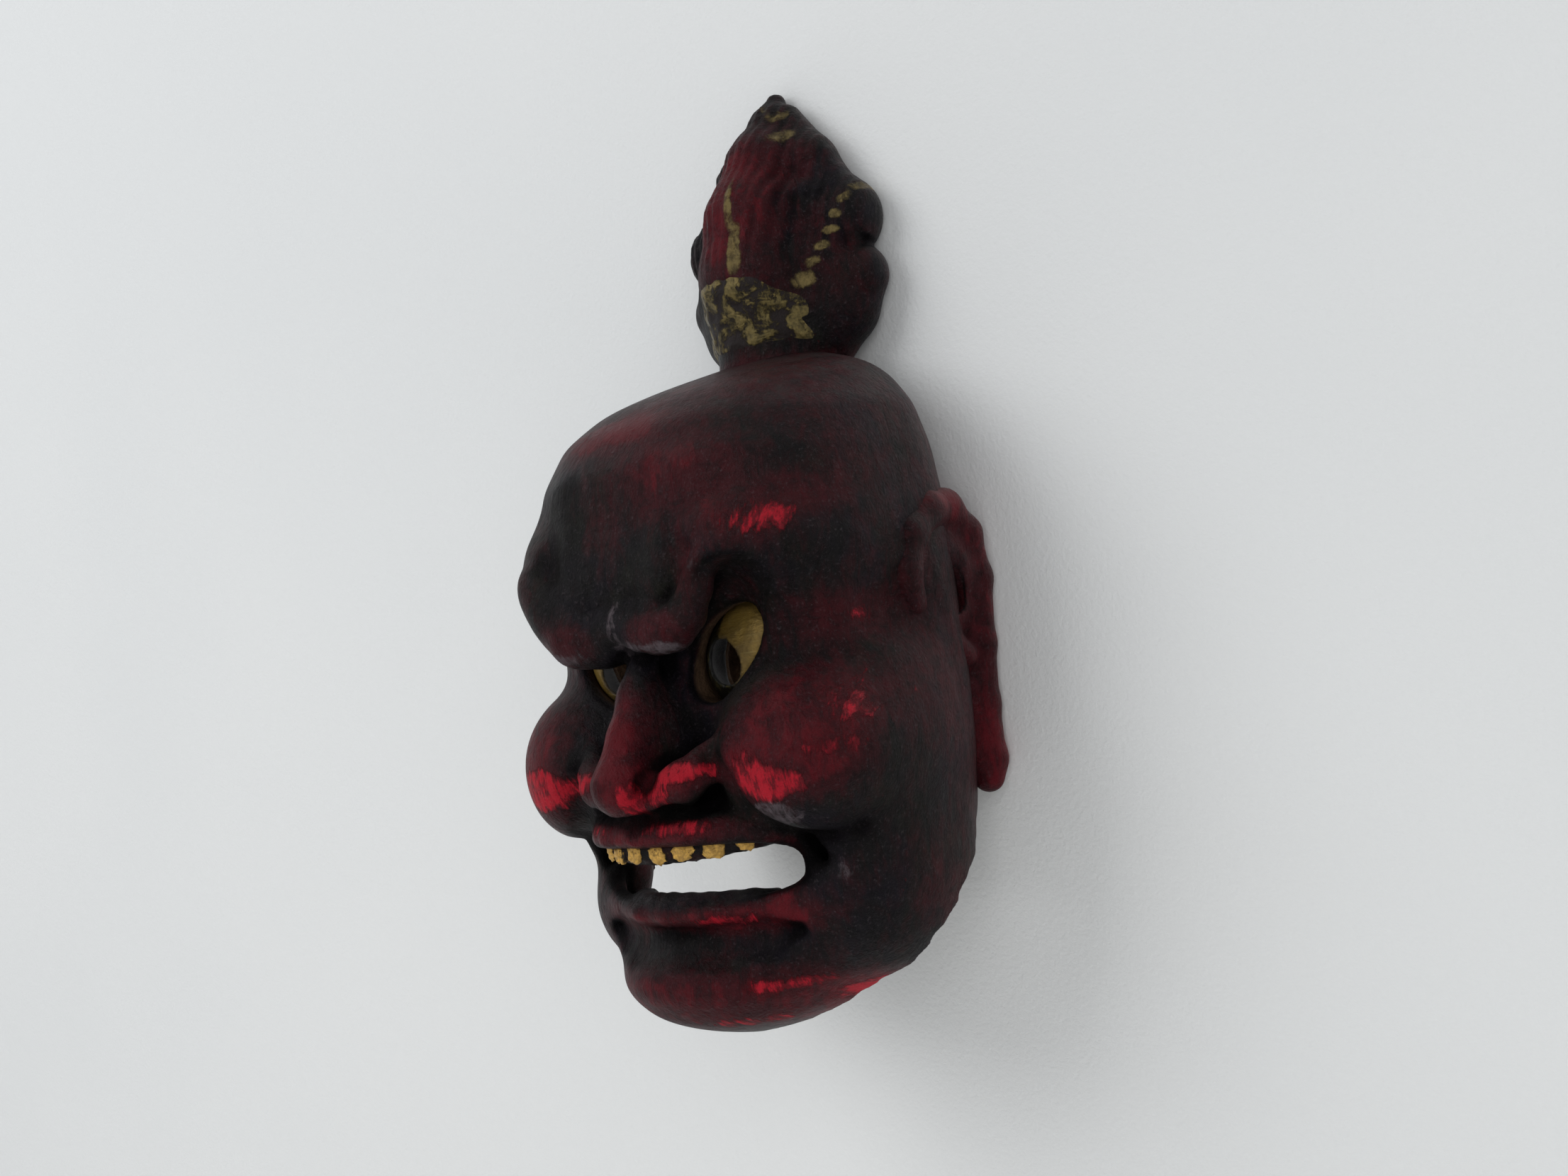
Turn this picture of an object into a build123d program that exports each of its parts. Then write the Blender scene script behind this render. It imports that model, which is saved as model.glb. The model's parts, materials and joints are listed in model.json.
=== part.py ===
"""Guardian mask: a hollow carved head front with pegged ears, a doweled topknot, gilt eyes and teeth.

Everything is laid out in the mask frame: x to the viewer's right, y = 0 on the wall plane with
the face towards -y, and z = 0 on the line of the pupils. On export it is moved to the row frame,
whose origin is the centre of the hanging eye. A "depth" is a distance in front of the wall plane.
All sizes are in millimetres.
"""

from build123d import *
import os
from math import cos, exp, radians, sin

# ---------------------------------------------------------------- driving dimensions
CROWN_Z = 118.0  # flat on the crown that the topknot stands on
CHIN_Z = -145.0
WALL = 8.0  # thickness of the carved shell
REAR_REACH = 37.0  # how far the full head section would run on behind the wall plane
FIT = 0.05  # play round a glued peg, pin or tenon
GLUE = 0.1  # glue line under the ears

EYE_X, SEAT_DEPTH = 33.0, 103.0  # eye centre, and the depth of the seat its plate lies on
EYE_TURN = 14.0  # degrees that each eye is turned outwards
EYE_BORE_R, FLANGE_R, DISH_R, GILT_T = 18.2, 22.0, 30.0, 1.2
LID_HALF_WIDTH, LID_HALF_HEIGHT, LID_SLANT = 17.5, 12.5, 44.0  # the opening in the carved lids
EYE_BOSS_R, EYE_BOSS_T = 25.5, 3.0  # the thicker ring of wood behind the lids
PUPIL_R, PUPIL_IN = 8.0, 3.0  # the pupil sits a little towards the nose
PIN_RING_R, EYE_PIN_R = 20.2, 0.7

MOUTH_Z, MOUTH_HALF_WIDTH, MOUTH_HALF_HEIGHT = -81.0, 47.0, 13.0
ARCH_R, ARCH_DEPTH, ARCH_HALF_ANGLE = 49.0, 78.0, 66.0  # the tooth arch seen from above
BAR_T, BAR_LOW_Z, BAR_HIGH_Z = 5.0, -77.0, -60.0
TOOTH_PAIRS, TOOTH_PITCH, TOOTH_W, TOOTH_T = 5, 13.4, 8.8, 4.0  # pitch in degrees of arch
BAR_PIN_R = 1.2

EAR_TILT = 20.0  # the ear's plane, turned from straight sideways towards the wall
EAR_X, EAR_DEPTH, EAR_T = 60.0, 4.0, 17.0
EAR_PEG_R, EAR_PEG_START, EAR_PEG_LENGTH = 2.5, 1.5, 10.0
EAR_PEG_SPOTS = ((-9.0, 14.0), (-5.0, -30.0))

TOPKNOT_TOP_Z = 240.0
LEAF_T = 18.0  # the flat leaf of hair behind the front lock
TIE_LOW_Z, TIE_HIGH_Z, TIE_T = 124.0, 158.0, 3.0
DOWEL_R, DOWEL_X, DOWEL_DEPTH, DOWEL_LENGTH = 4.0, 12.0, 26.0, 20.0

HANG_Z, HANG_DEPTH = 75.0, 2.4  # the hanging eye's centre: the row origin
HANG_RING_R, HANG_BORE_R, HANG_T = 8.0, 4.5, 2.4
PIVOT_DROP, PIVOT_R, KNUCKLE_R = 13.0, 1.1, 2.2
NECK_W, KNUCKLE_GAP, KNUCKLE_END = 5.6, 6.4, 14.0  # widths across the pivot
PLATE_W, PLATE_LOW_Z, PLATE_T, PLATE_DEPTH = 28.0, 45.0, 1.2, 4.0
SCREW_X, SCREW_Z, SCREW_R, SCREW_HEAD_R = 9.0, 51.0, 1.5, 2.8
BATTEN_LENGTH, BATTEN_LOW_Z, BATTEN_HIGH_Z, BATTEN_T = 118.0, 43.0, 61.0, 7.0

# Head levels: height, depth of the section's middle, half width, depth of the front.
HEAD_LEVELS = [
    (-145.0, 48.0, 26.0, 98.0),
    (-142.0, 48.0, 42.0, 111.0),
    (-136.0, 48.0, 56.0, 119.0),
    (-124.0, 48.0, 67.0, 121.0),
    (-107.0, 48.0, 75.0, 113.0),
    (-88.0, 48.0, 79.0, 113.0),
    (-66.0, 48.0, 82.0, 117.0),
    (-45.0, 48.0, 86.0, 112.0),
    (-20.0, 48.0, 88.0, 110.0),
    (8.0, 48.0, 86.0, 112.0),
    (30.0, 48.0, 86.0, 123.0),
    (48.0, 48.0, 85.0, 128.0),
    (75.0, 48.0, 82.0, 126.0),
    (92.0, 46.0, 76.0, 115.0),
    (104.0, 41.0, 65.0, 97.0),
    (112.0, 35.0, 52.0, 76.0),
    (118.0, 30.0, 38.0, 55.0),
]
FACE_POWER, REAR_POWER = 2.6, 1.5  # the section is squarer than an ellipse in front, and tapers behind
SECTION_POINTS = 56
SECTION_SWEEP = 2.6  # radians round from the front, past the wall plane
LEVEL_STEP = 6.6

# The sawn neck edge in side view, as depth and height, from behind the ear lobe round under the chin.
# It is cut further forward on the left.
NECK_EDGE_RIGHT = [(-12.0, -57.0), (14.0, -66.0), (33.0, -89.0), (50.0, -104.0), (61.0, -119.0), (86.0, -155.0)]
NECK_EDGE_LEFT = [(-12.0, -62.0), (30.0, -73.0), (60.0, -85.0), (66.0, -108.0), (72.0, -128.0), (86.0, -155.0)]

# The ear's outline in its own plane: distance towards the wall, and height.
EAR_OUTLINE = [
    (0.0, -66.0),
    (3.0, -58.0),
    (3.0, -10.0),
    (2.0, 25.0),
    (-4.0, 42.0),
    (-15.0, 52.0),
    (-30.0, 50.0),
    (-42.0, 38.0),
    (-44.0, 24.0),
    (-36.0, 12.0),
    (-20.0, 3.0),
    (-12.0, -12.0),
    (-9.0, -50.0),
    (-6.0, -64.0),
]

# One side of the hair leaf, from its foot to its tip: half width and height.
LEAF_OUTLINE = [(27, 127), (42, 138), (50, 149), (44, 160), (50, 175), (42, 188), (30, 199), (23, 213), (12, 229)]

# The front lock of the topknot: height, half width, depth.
LOCK_LEVELS = [(118, 28, 48), (135, 27, 48), (158, 30, 54), (180, 29, 50), (205, 22, 40), (225, 12, 26), (237, 4, 12)]
LOCK_FRONT_SHARE = 0.6  # of the lock's depth, in front of its section's middle


# ---------------------------------------------------------------- the sculpted head
def level_at(z):
    """Section middle, half width and front depth at any height, as a smooth curve through the levels."""
    rows = HEAD_LEVELS
    i = max(k for k in range(len(rows) - 1) if rows[k][0] <= z)
    low, high = rows[i], rows[i + 1]
    before, after = rows[max(i - 1, 0)], rows[min(i + 2, len(rows) - 1)]
    span = high[0] - low[0]
    t = (z - low[0]) / span
    found = []
    for k in (1, 2, 3):
        slope_low = (high[k] - before[k]) / (high[0] - before[0]) * span
        slope_high = (after[k] - low[k]) / (after[0] - low[0]) * span
        found.append(
            (2 * t**3 - 3 * t**2 + 1) * low[k]
            + (t**3 - 2 * t**2 + t) * slope_low
            + (3 * t**2 - 2 * t**3) * high[k]
            + (t**3 - t**2) * slope_high
        )
    return found


def hill(x, z, cx, cz, wx, wz):
    """A smooth hill of height 1 at (cx, cz), and its mirror image at -cx."""
    return exp(-(((abs(x) - cx) / wx) ** 2) - ((z - cz) / wz) ** 2)


def ramp(value, start, end):
    """0 at start, 1 at end, smooth between."""
    t = min(max((value - start) / (end - start), 0.0), 1.0)
    return t * t * (3 - 2 * t)


def nose(x, z):
    underside = ramp(z, -62, -50)
    down = ramp(z, 10, -42)
    ridge = (7 + 19 * down) * exp(-((x / (9 + 8 * down)) ** 2)) * underside * ramp(z, 18, 4)
    wings = 18 * hill(x, z, 27, -40, 12, 12)
    return ridge + wings


def brows(x, z):
    frown = 14 * hill(x, z, 20, 22, 22, 17)
    arch = 17 * hill(x, z, 46, 33, 19, 15)
    furrow = -5 * hill(x, z, 0, 30, 5, 18)
    return frown + arch + furrow


def eyes(x, z):
    lids = 8 * hill(x, z, EYE_X + 6, 0, 24, 18)
    temples = -7 * hill(x, z, 74, 6, 12, 18)
    return lids + temples


def cheeks(x, z):
    return 19 * hill(x, z, 58, -38, 22, 23)


def mouth(x, z):
    muzzle = 25 * hill(x, z, 0, -71, 32, 29)
    corners = -10 * hill(x, z, 54, -82, 14, 16)
    return muzzle + corners


def chin(x, z):
    boss = 10 * hill(x, z, 0, -124, 36, 15)
    crease = -6 * hill(x, z, 0, -106, 40, 7)
    return boss + crease


FEATURES = (nose, brows, eyes, cheeks, mouth, chin)


def head_section(z, inset):
    """The outline of the head at height z, pulled in by inset: a curve round the face, closed behind."""
    middle, half_width, front = level_at(z)
    points = []
    for i in range(SECTION_POINTS + 1):
        t = 2 * i / SECTION_POINTS - 1
        angle = SECTION_SWEEP * (0.6 * t + 0.4 * t**3)  # crowds the points towards the face
        depth = front - middle if cos(angle) > 0 else middle + REAR_REACH
        power = FACE_POWER if cos(angle) > 0 else REAR_POWER
        across, along = abs(sin(angle) / half_width), abs(cos(angle) / depth)
        reach = (across**power + along**power) ** (-1 / power)
        if cos(angle) > 0:
            x = reach * sin(angle)
            reach += cos(angle) ** 0.5 * sum(feature(x, z) for feature in FEATURES)
        reach -= inset
        points.append(Vector(reach * sin(angle), -middle - reach * cos(angle), z))
    knots = [i / SECTION_POINTS for i in range(SECTION_POINTS + 1)]
    return Wire([Edge.make_spline(points, parameters=knots), Edge.make_line(points[-1], points[0])])


def head_solid(inset):
    """The full head, pulled in by inset, as a stack of its sections."""
    low, high = CHIN_Z + inset, CROWN_Z - inset
    count = round((high - low) / LEVEL_STEP)
    heights = [low + (high - low) * i / count for i in range(count + 1)]
    return Solid.make_loft([head_section(z, inset) for z in heights], ruled=True)


# ---------------------------------------------------------------- small makers
def block(x_low, x_high, depth_low, depth_high, z_low, z_high):
    """A box given by its limits, with depths measured from the wall plane."""
    corner = Pos((x_low + x_high) / 2, -(depth_low + depth_high) / 2, (z_low + z_high) / 2)
    return corner * Box(x_high - x_low, depth_high - depth_low, z_high - z_low)


def rod(r, x, z, depth_low, depth_high):
    """A round bar along y between two depths."""
    return Pos(x, -(depth_low + depth_high) / 2, z) * Cylinder(r, depth_high - depth_low, rotation=(90, 0, 0))


def cross_rod(r, x_low, x_high, depth, z):
    """A round bar along x."""
    return Pos((x_low + x_high) / 2, -depth, z) * Cylinder(r, x_high - x_low, rotation=(0, 90, 0))


def upright(r, x, depth, z_low, z_high):
    """A round bar along z."""
    return Pos(x, -depth, (z_low + z_high) / 2) * Cylinder(r, z_high - z_low)


def pair(shape):
    """A shape and its mirror image in the middle plane."""
    return [shape, mirror(shape, Plane.YZ)]


def group(solids):
    """Separate solids kept in one node."""
    return Compound([s for shape in solids for s in shape.solids()])


def in_front_of_wall(shape):
    return shape & block(-200, 200, 0, 300, -300, 400)


# ---------------------------------------------------------------- eyes
def eye_place(shape):
    """Set a shape, made about the y axis with its seat at y = 0, at the right eye."""
    return Pos(EYE_X, -SEAT_DEPTH, 0) * Rot(0, 0, EYE_TURN) * shape


def eye_ball(radius):
    """The ball that the dish of the eye plate is part of."""
    rise = DISH_R - (DISH_R**2 - (EYE_BORE_R - 0.3) ** 2) ** 0.5
    return Pos(0, DISH_R - rise, 0) * Sphere(radius)


def eye_plate():
    """A gilt dish with a flange behind it and a round pupil hole."""
    dish = eye_ball(DISH_R) - eye_ball(DISH_R - GILT_T)
    dish = dish & rod(EYE_BORE_R - 0.2, 0, 0, -GILT_T, 20)
    flange = rod(FLANGE_R, 0, 0, -GILT_T, 0) - rod(EYE_BORE_R - 1.5, 0, 0, -5, 5)
    plate = dish + flange - rod(PUPIL_R, -PUPIL_IN, 0, -20, 20)
    for x, z in eye_pin_spots():
        plate -= rod(EYE_PIN_R + FIT, x, z, -5, 5)
    return eye_place(plate)


def eye_pin_spots():
    angles = (90, 210, 330)
    return [(PIN_RING_R * cos(radians(a)), PIN_RING_R * sin(radians(a))) for a in angles]


def eye_pins(grow=0.0):
    """Brass brads that hold one eye plate to its seat from behind."""
    pins = []
    for x, z in eye_pin_spots():
        shank = rod(EYE_PIN_R + grow, x, z, -GILT_T - 0.2, 3)
        head = rod(1.5, x, z, -GILT_T - 0.7, -GILT_T)
        pins.append(eye_place(shank + head))
    return pins


def eye_cutters():
    """What the lids lose: the slanting opening, the room for the dish, and the seat for the flange."""
    lids = Plane.XZ * Rot(0, 0, LID_SLANT) * Ellipse(LID_HALF_WIDTH, LID_HALF_HEIGHT)
    opening = Pos(0, 10, 0) * extrude(lids, 60)
    dish_room = eye_ball(DISH_R + GLUE) & rod(EYE_BORE_R, 0, 0, -1, 20)
    seat = rod(FLANGE_R + GLUE, 0, 0, -30, 0)
    return [eye_place(opening), eye_place(dish_room), eye_place(seat)]


# ---------------------------------------------------------------- mouth
def arch_ring(r_inner, r_outer, z_low, z_high, half_angle):
    """Part of a ring round the tooth arch's centre, open towards the wall."""
    ring = upright(r_outer, 0, ARCH_DEPTH, z_low, z_high) - upright(r_inner, 0, ARCH_DEPTH, z_low - 1, z_high + 1)
    reach = 2 * r_outer
    side = reach * sin(radians(half_angle))
    ahead = reach * cos(radians(half_angle))
    wedge = Polyline((0, 0), (side, -ahead), (side, -reach), (-side, -reach), (-side, -ahead), close=True)
    keep = Pos(0, -ARCH_DEPTH, z_low) * extrude(make_face(wedge), z_high - z_low)
    return ring & keep


def tooth_bar(grow=0.0):
    """The dark gum strip let into a groove behind the upper lip."""
    angle = ARCH_HALF_ANGLE + grow * 2
    return arch_ring(ARCH_R - BAR_T - grow, ARCH_R + grow, BAR_LOW_Z - grow, BAR_HIGH_Z + grow, angle)


def upper_teeth():
    """Rounded gilt teeth on the front of the gum strip."""
    tooth_top = MOUTH_Z + MOUTH_HALF_HEIGHT - 0.3
    height = tooth_top - BAR_LOW_Z
    teeth = []
    for i in range(TOOTH_PAIRS):
        angle = TOOTH_PITCH * (i + 0.5)
        width = TOOTH_W - 0.5 * i
        blank = Box(width, 2 * TOOTH_T, height * 2)
        crown = fillet(blank.edges().filter_by(Axis.Y), 2.6)
        crown = Rot(0, 0, angle) * Pos(0, -ARCH_R, 0) * crown
        crown = Pos(0, -ARCH_DEPTH, tooth_top) * crown
        band = upright(ARCH_R + TOOTH_T, 0, ARCH_DEPTH, BAR_LOW_Z - 3, tooth_top)
        crown = (crown & band) - upright(ARCH_R + FIT, 0, ARCH_DEPTH, BAR_LOW_Z - 20, BAR_HIGH_Z)
        crown &= block(-60, 60, 0, 200, BAR_LOW_Z + 0.4, tooth_top)
        crown &= mouth_hole(0.3)
        teeth += pair(crown)
    return teeth


def bar_pins(grow=0.0):
    """Bamboo pins from behind, through the gum strip and into the lip."""
    pins = []
    for angle in (-28, 0, 28):
        pin = Pos(0, -(ARCH_R - BAR_T + 4), 0) * Cylinder(BAR_PIN_R + grow, 8.0 + 2 * grow, rotation=(90, 0, 0))
        pins.append(Pos(0, -ARCH_DEPTH, BAR_HIGH_Z - 4.5) * Rot(0, 0, angle) * pin)
    return pins


# ---------------------------------------------------------------- ears
def ear_plane():
    tilt = radians(EAR_TILT)
    return Plane(
        origin=(EAR_X, -EAR_DEPTH, 0), x_dir=(-sin(tilt), cos(tilt), 0), z_dir=(cos(tilt), sin(tilt), 0)
    )


def ear(head):
    """A long-lobed ear, its inner side fitted to the head."""
    outline = Spline(*EAR_OUTLINE, periodic=True)
    blank = extrude(ear_plane() * make_face(outline), EAR_T)
    bowl_centre = ear_plane() * Pos(-18, 22, EAR_T + 6)
    bowl = bowl_centre * scale(Sphere(1), by=(13, 17, 11))
    carved = in_front_of_wall(blank - bowl) - head
    tilt = radians(EAR_TILT)
    return Pos(GLUE * cos(tilt), GLUE * sin(tilt), 0) * max(carved.solids(), key=lambda s: s.volume)


def ear_pegs(grow=0.0):
    pegs = []
    for back, z in EAR_PEG_SPOTS:
        middle = EAR_PEG_START + EAR_PEG_LENGTH / 2
        spot = ear_plane() * Pos(back, z, middle)
        pegs.append(spot * Cylinder(EAR_PEG_R + grow, EAR_PEG_LENGTH + 2 * grow))
    return pegs


# ---------------------------------------------------------------- topknot
def front_lock(grow=0.0, z_low=None, z_high=None):
    """The tapering front lock: a stack of ellipses, grown outwards for the tie that wraps it."""
    wires = []
    for z, half_width, depth in LOCK_LEVELS:
        wide, deep = half_width + grow, depth * LOCK_FRONT_SHARE + grow
        middle = depth * (1 - LOCK_FRONT_SHARE)
        wires.append(Pos(0, -middle, z) * Wire([Edge.make_ellipse(wide, deep)]))
    lock = in_front_of_wall(Solid.make_loft(wires, ruled=True))
    if z_low is not None:
        lock &= block(-100, 100, 0, 100, z_low, z_high)
    return lock


def topknot():
    """Bound hair: a flat leaf with scalloped sides behind a tapering lock."""
    right = [(16, CROWN_Z)] + LEAF_OUTLINE + [(0, TOPKNOT_TOP_Z)]
    left = [(-x, z) for x, z in reversed(right[:-1])]
    edge = Spline(*right, *left)
    face = make_face([edge, Line((-16, CROWN_Z), (16, CROWN_Z))])
    leaf = extrude(Plane.XZ * face, LEAF_T)
    hair = leaf + front_lock()
    return hair


def hair_tie(hair):
    """The gilt band round the foot of the front lock."""
    band = front_lock(TIE_T, TIE_LOW_Z, TIE_HIGH_Z) - hair
    return max(band.solids(), key=lambda s: s.volume)


def dowels(grow=0.0):
    low = CROWN_Z - WALL + 0.5
    return pair(upright(DOWEL_R + grow, DOWEL_X, DOWEL_DEPTH, low - grow, low + DOWEL_LENGTH + grow))


# ---------------------------------------------------------------- hanging parts
def batten(grow=0.0):
    """The crosspiece let into notches in the shell, behind the forehead."""
    half = BATTEN_LENGTH / 2 + grow
    near = PLATE_DEPTH + PLATE_T
    return block(-half, half, near - grow, near + BATTEN_T + grow, BATTEN_LOW_Z - grow, BATTEN_HIGH_Z + grow)


def hanger_plate():
    """A brass plate with two knuckles for the hanging eye's pivot."""
    pivot_z = HANG_Z - PIVOT_DROP
    plate = block(-PLATE_W / 2, PLATE_W / 2, PLATE_DEPTH, PLATE_DEPTH + PLATE_T, PLATE_LOW_Z, pivot_z)
    for low, high in ((-KNUCKLE_END / 2, -KNUCKLE_GAP / 2), (KNUCKLE_GAP / 2, KNUCKLE_END / 2)):
        plate += cross_rod(KNUCKLE_R, low, high, HANG_DEPTH, pivot_z)
    half_gap = KNUCKLE_GAP / 2
    plate -= block(-half_gap, half_gap, 0, 20, pivot_z - PIVOT_R - 1.6, pivot_z + 10)
    plate -= cross_rod(PIVOT_R + FIT, -PLATE_W, PLATE_W, HANG_DEPTH, pivot_z)
    for x in (-SCREW_X, SCREW_X):
        plate -= rod(SCREW_R + 0.1, x, SCREW_Z, 0, 20)
    return plate


def hanging_eye():
    """The swinging eye that takes the nail, with its pivot bar."""
    pivot_z = HANG_Z - PIVOT_DROP
    near, far = HANG_DEPTH - HANG_T / 2, HANG_DEPTH + HANG_T / 2
    ring = rod(HANG_RING_R, 0, HANG_Z, near, far)
    neck = block(-NECK_W / 2, NECK_W / 2, near, far, pivot_z, HANG_Z)
    bar = cross_rod(PIVOT_R, -KNUCKLE_END / 2, KNUCKLE_END / 2, HANG_DEPTH, pivot_z)
    return ring + neck + bar - rod(HANG_BORE_R, 0, HANG_Z, near - 5, far + 5)


def plate_screws(grow=0.0):
    screws = []
    for x in (-SCREW_X, SCREW_X):
        shank = rod(SCREW_R + grow, x, SCREW_Z, PLATE_DEPTH - 0.3, PLATE_DEPTH + 6.5 + grow)
        head = rod(SCREW_HEAD_R, x, SCREW_Z, PLATE_DEPTH - 1.0, PLATE_DEPTH)
        screws.append(shank + head)
    return screws


# ---------------------------------------------------------------- the carved shell
def neck_blocks():
    """What is sawn away behind the jaw and under the chin, on the right and on the left."""
    blocks = []
    for side, start in ((NECK_EDGE_RIGHT, 0), (NECK_EDGE_LEFT, -150)):
        edge = Spline(*[(-depth, z) for depth, z in side])
        (y0, z0), (y1, z1) = [(-depth, z) for depth, z in (side[0], side[-1])]
        close = Polyline((y1, z1), (y0 + 60, z1), (y0 + 60, z0), (y0, z0))
        blocks.append(Pos(start, 0, 0) * extrude(Plane.YZ * make_face([edge, close]), 150))
    return blocks


def mouth_hole(inset=0.0):
    slot = SlotOverall(2 * (MOUTH_HALF_WIDTH - inset), 2 * (MOUTH_HALF_HEIGHT - inset))
    return Pos(0, 0, MOUTH_Z) * extrude(Plane.XZ * slot, 200)


def face_shell(head):
    shell = in_front_of_wall(head) - head_solid(WALL)
    boss = eye_place(rod(EYE_BOSS_R, 0, 0, -EYE_BOSS_T, 30)) & head_solid(1.0)
    for ring in pair(boss):
        shell = shell + ring
    shell = shell - mouth_hole()
    cutters = [*neck_blocks(), tooth_bar(GLUE), batten(FIT), *bar_pins(FIT), *dowels(FIT)]
    for cutter in (*eye_cutters(), *eye_pins(FIT), *ear_pegs(FIT)):
        cutters += pair(cutter)
    for cutter in cutters:
        shell = shell - cutter
    return max(shell.solids(), key=lambda s: s.volume)


def cut(shape, cutters):
    for cutter in cutters:
        shape = shape - cutter
    return shape


def build():
    """Every node by name, in the mask frame."""
    head = head_solid(0)
    hair = topknot()
    right_ear = cut(ear(head), ear_pegs(FIT))
    ears = pair(right_ear)
    plates = pair(eye_plate())
    return {
        "face_shell": face_shell(head),
        "ear_left": ears[0],
        "ear_right": ears[1],
        "ear_pegs": group([p for peg in ear_pegs() for p in pair(peg)]),
        "topknot": cut(hair, dowels(FIT)),
        "topknot_dowels": group(dowels()),
        "hair_tie": hair_tie(hair),
        "eye_plate_left": plates[0],
        "eye_plate_right": plates[1],
        "eye_pins": group([p for pin in eye_pins() for p in pair(pin)]),
        "tooth_bar": cut(tooth_bar(), bar_pins(FIT)),
        "tooth_bar_pins": group(bar_pins()),
        "upper_teeth": group(upper_teeth()),
        "hanger_batten": cut(batten(), plate_screws(FIT)),
        "hanger_plate": hanger_plate(),
        "hanger_screws": group(plate_screws()),
        "hanging_eye": hanging_eye(),
    }


if __name__ == "__main__":
    os.makedirs("parts", exist_ok=True)
    to_row_frame = Pos(0, HANG_DEPTH, -HANG_Z)
    for name, shape in build().items():
        export_step(to_row_frame * shape, f"parts/{name}.step")
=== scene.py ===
"""Looks of the guardian mask: sculpted lacquered wood, gilt eyes and teeth, brass hanger, on a pale wall.

Shapes are modelled as signed distances in millimetres in the mask frame: x to the viewer's right,
d the depth in front of the wall plane, z up from the line of the pupils.
"""

import json
import math

import bpy
import numpy as np
import openvdb
from mathutils import Matrix, Vector


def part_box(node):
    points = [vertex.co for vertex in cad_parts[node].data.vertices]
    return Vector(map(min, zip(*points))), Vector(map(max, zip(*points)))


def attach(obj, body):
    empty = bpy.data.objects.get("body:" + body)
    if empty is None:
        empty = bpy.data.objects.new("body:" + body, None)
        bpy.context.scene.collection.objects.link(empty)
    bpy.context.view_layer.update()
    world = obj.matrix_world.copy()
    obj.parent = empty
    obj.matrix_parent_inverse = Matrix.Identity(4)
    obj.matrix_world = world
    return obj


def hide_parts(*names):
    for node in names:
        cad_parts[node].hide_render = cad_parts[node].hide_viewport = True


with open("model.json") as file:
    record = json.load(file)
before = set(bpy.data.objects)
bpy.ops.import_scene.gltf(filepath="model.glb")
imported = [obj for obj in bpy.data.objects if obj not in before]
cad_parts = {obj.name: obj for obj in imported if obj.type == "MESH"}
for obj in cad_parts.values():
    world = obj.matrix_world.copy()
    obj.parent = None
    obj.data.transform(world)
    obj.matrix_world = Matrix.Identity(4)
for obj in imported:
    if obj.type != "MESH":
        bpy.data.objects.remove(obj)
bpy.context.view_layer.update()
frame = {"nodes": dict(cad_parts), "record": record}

# ---------------------------------------------------------------- where the mask frame lies
mounts = {m["name"]: m for m in frame["record"]["mounts"]}
eye_low, eye_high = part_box("eye_plate_left")
WALL_Y = mounts["wall_rim"]["pos_m"][1] * 1000
PUPIL_Z = (eye_low.z + eye_high.z) * 500
topknot_low, topknot_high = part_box("topknot")
CROWN_Z = topknot_low.z * 1000 - PUPIL_Z
TOP_Z = topknot_high.z * 1000 - PUPIL_Z


def link(obj):
    bpy.context.scene.collection.objects.link(obj)


def to_row(points):
    """Mask frame (x, d, z) in mm to row frame in metres."""
    p = np.asarray(points, float)
    return np.stack([p[..., 0], WALL_Y - p[..., 1], p[..., 2] + PUPIL_Z], -1) / 1000


# ---------------------------------------------------------------- clay: signed distances on a grid
STEP = 1.5  # grid spacing of the large pieces
EMPTY, FAR = 60.0, 99.0  # distances that stand for nothing near
BLEND_PAD, DENT_PAD = 10, 2.5  # how far past a shape its blend reaches, and past a dent in widths


def smooth_min(a, b, k):
    h = np.maximum(k - np.abs(a - b), 0) / k
    return np.minimum(a, b) - h * h * k * 0.25


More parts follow.
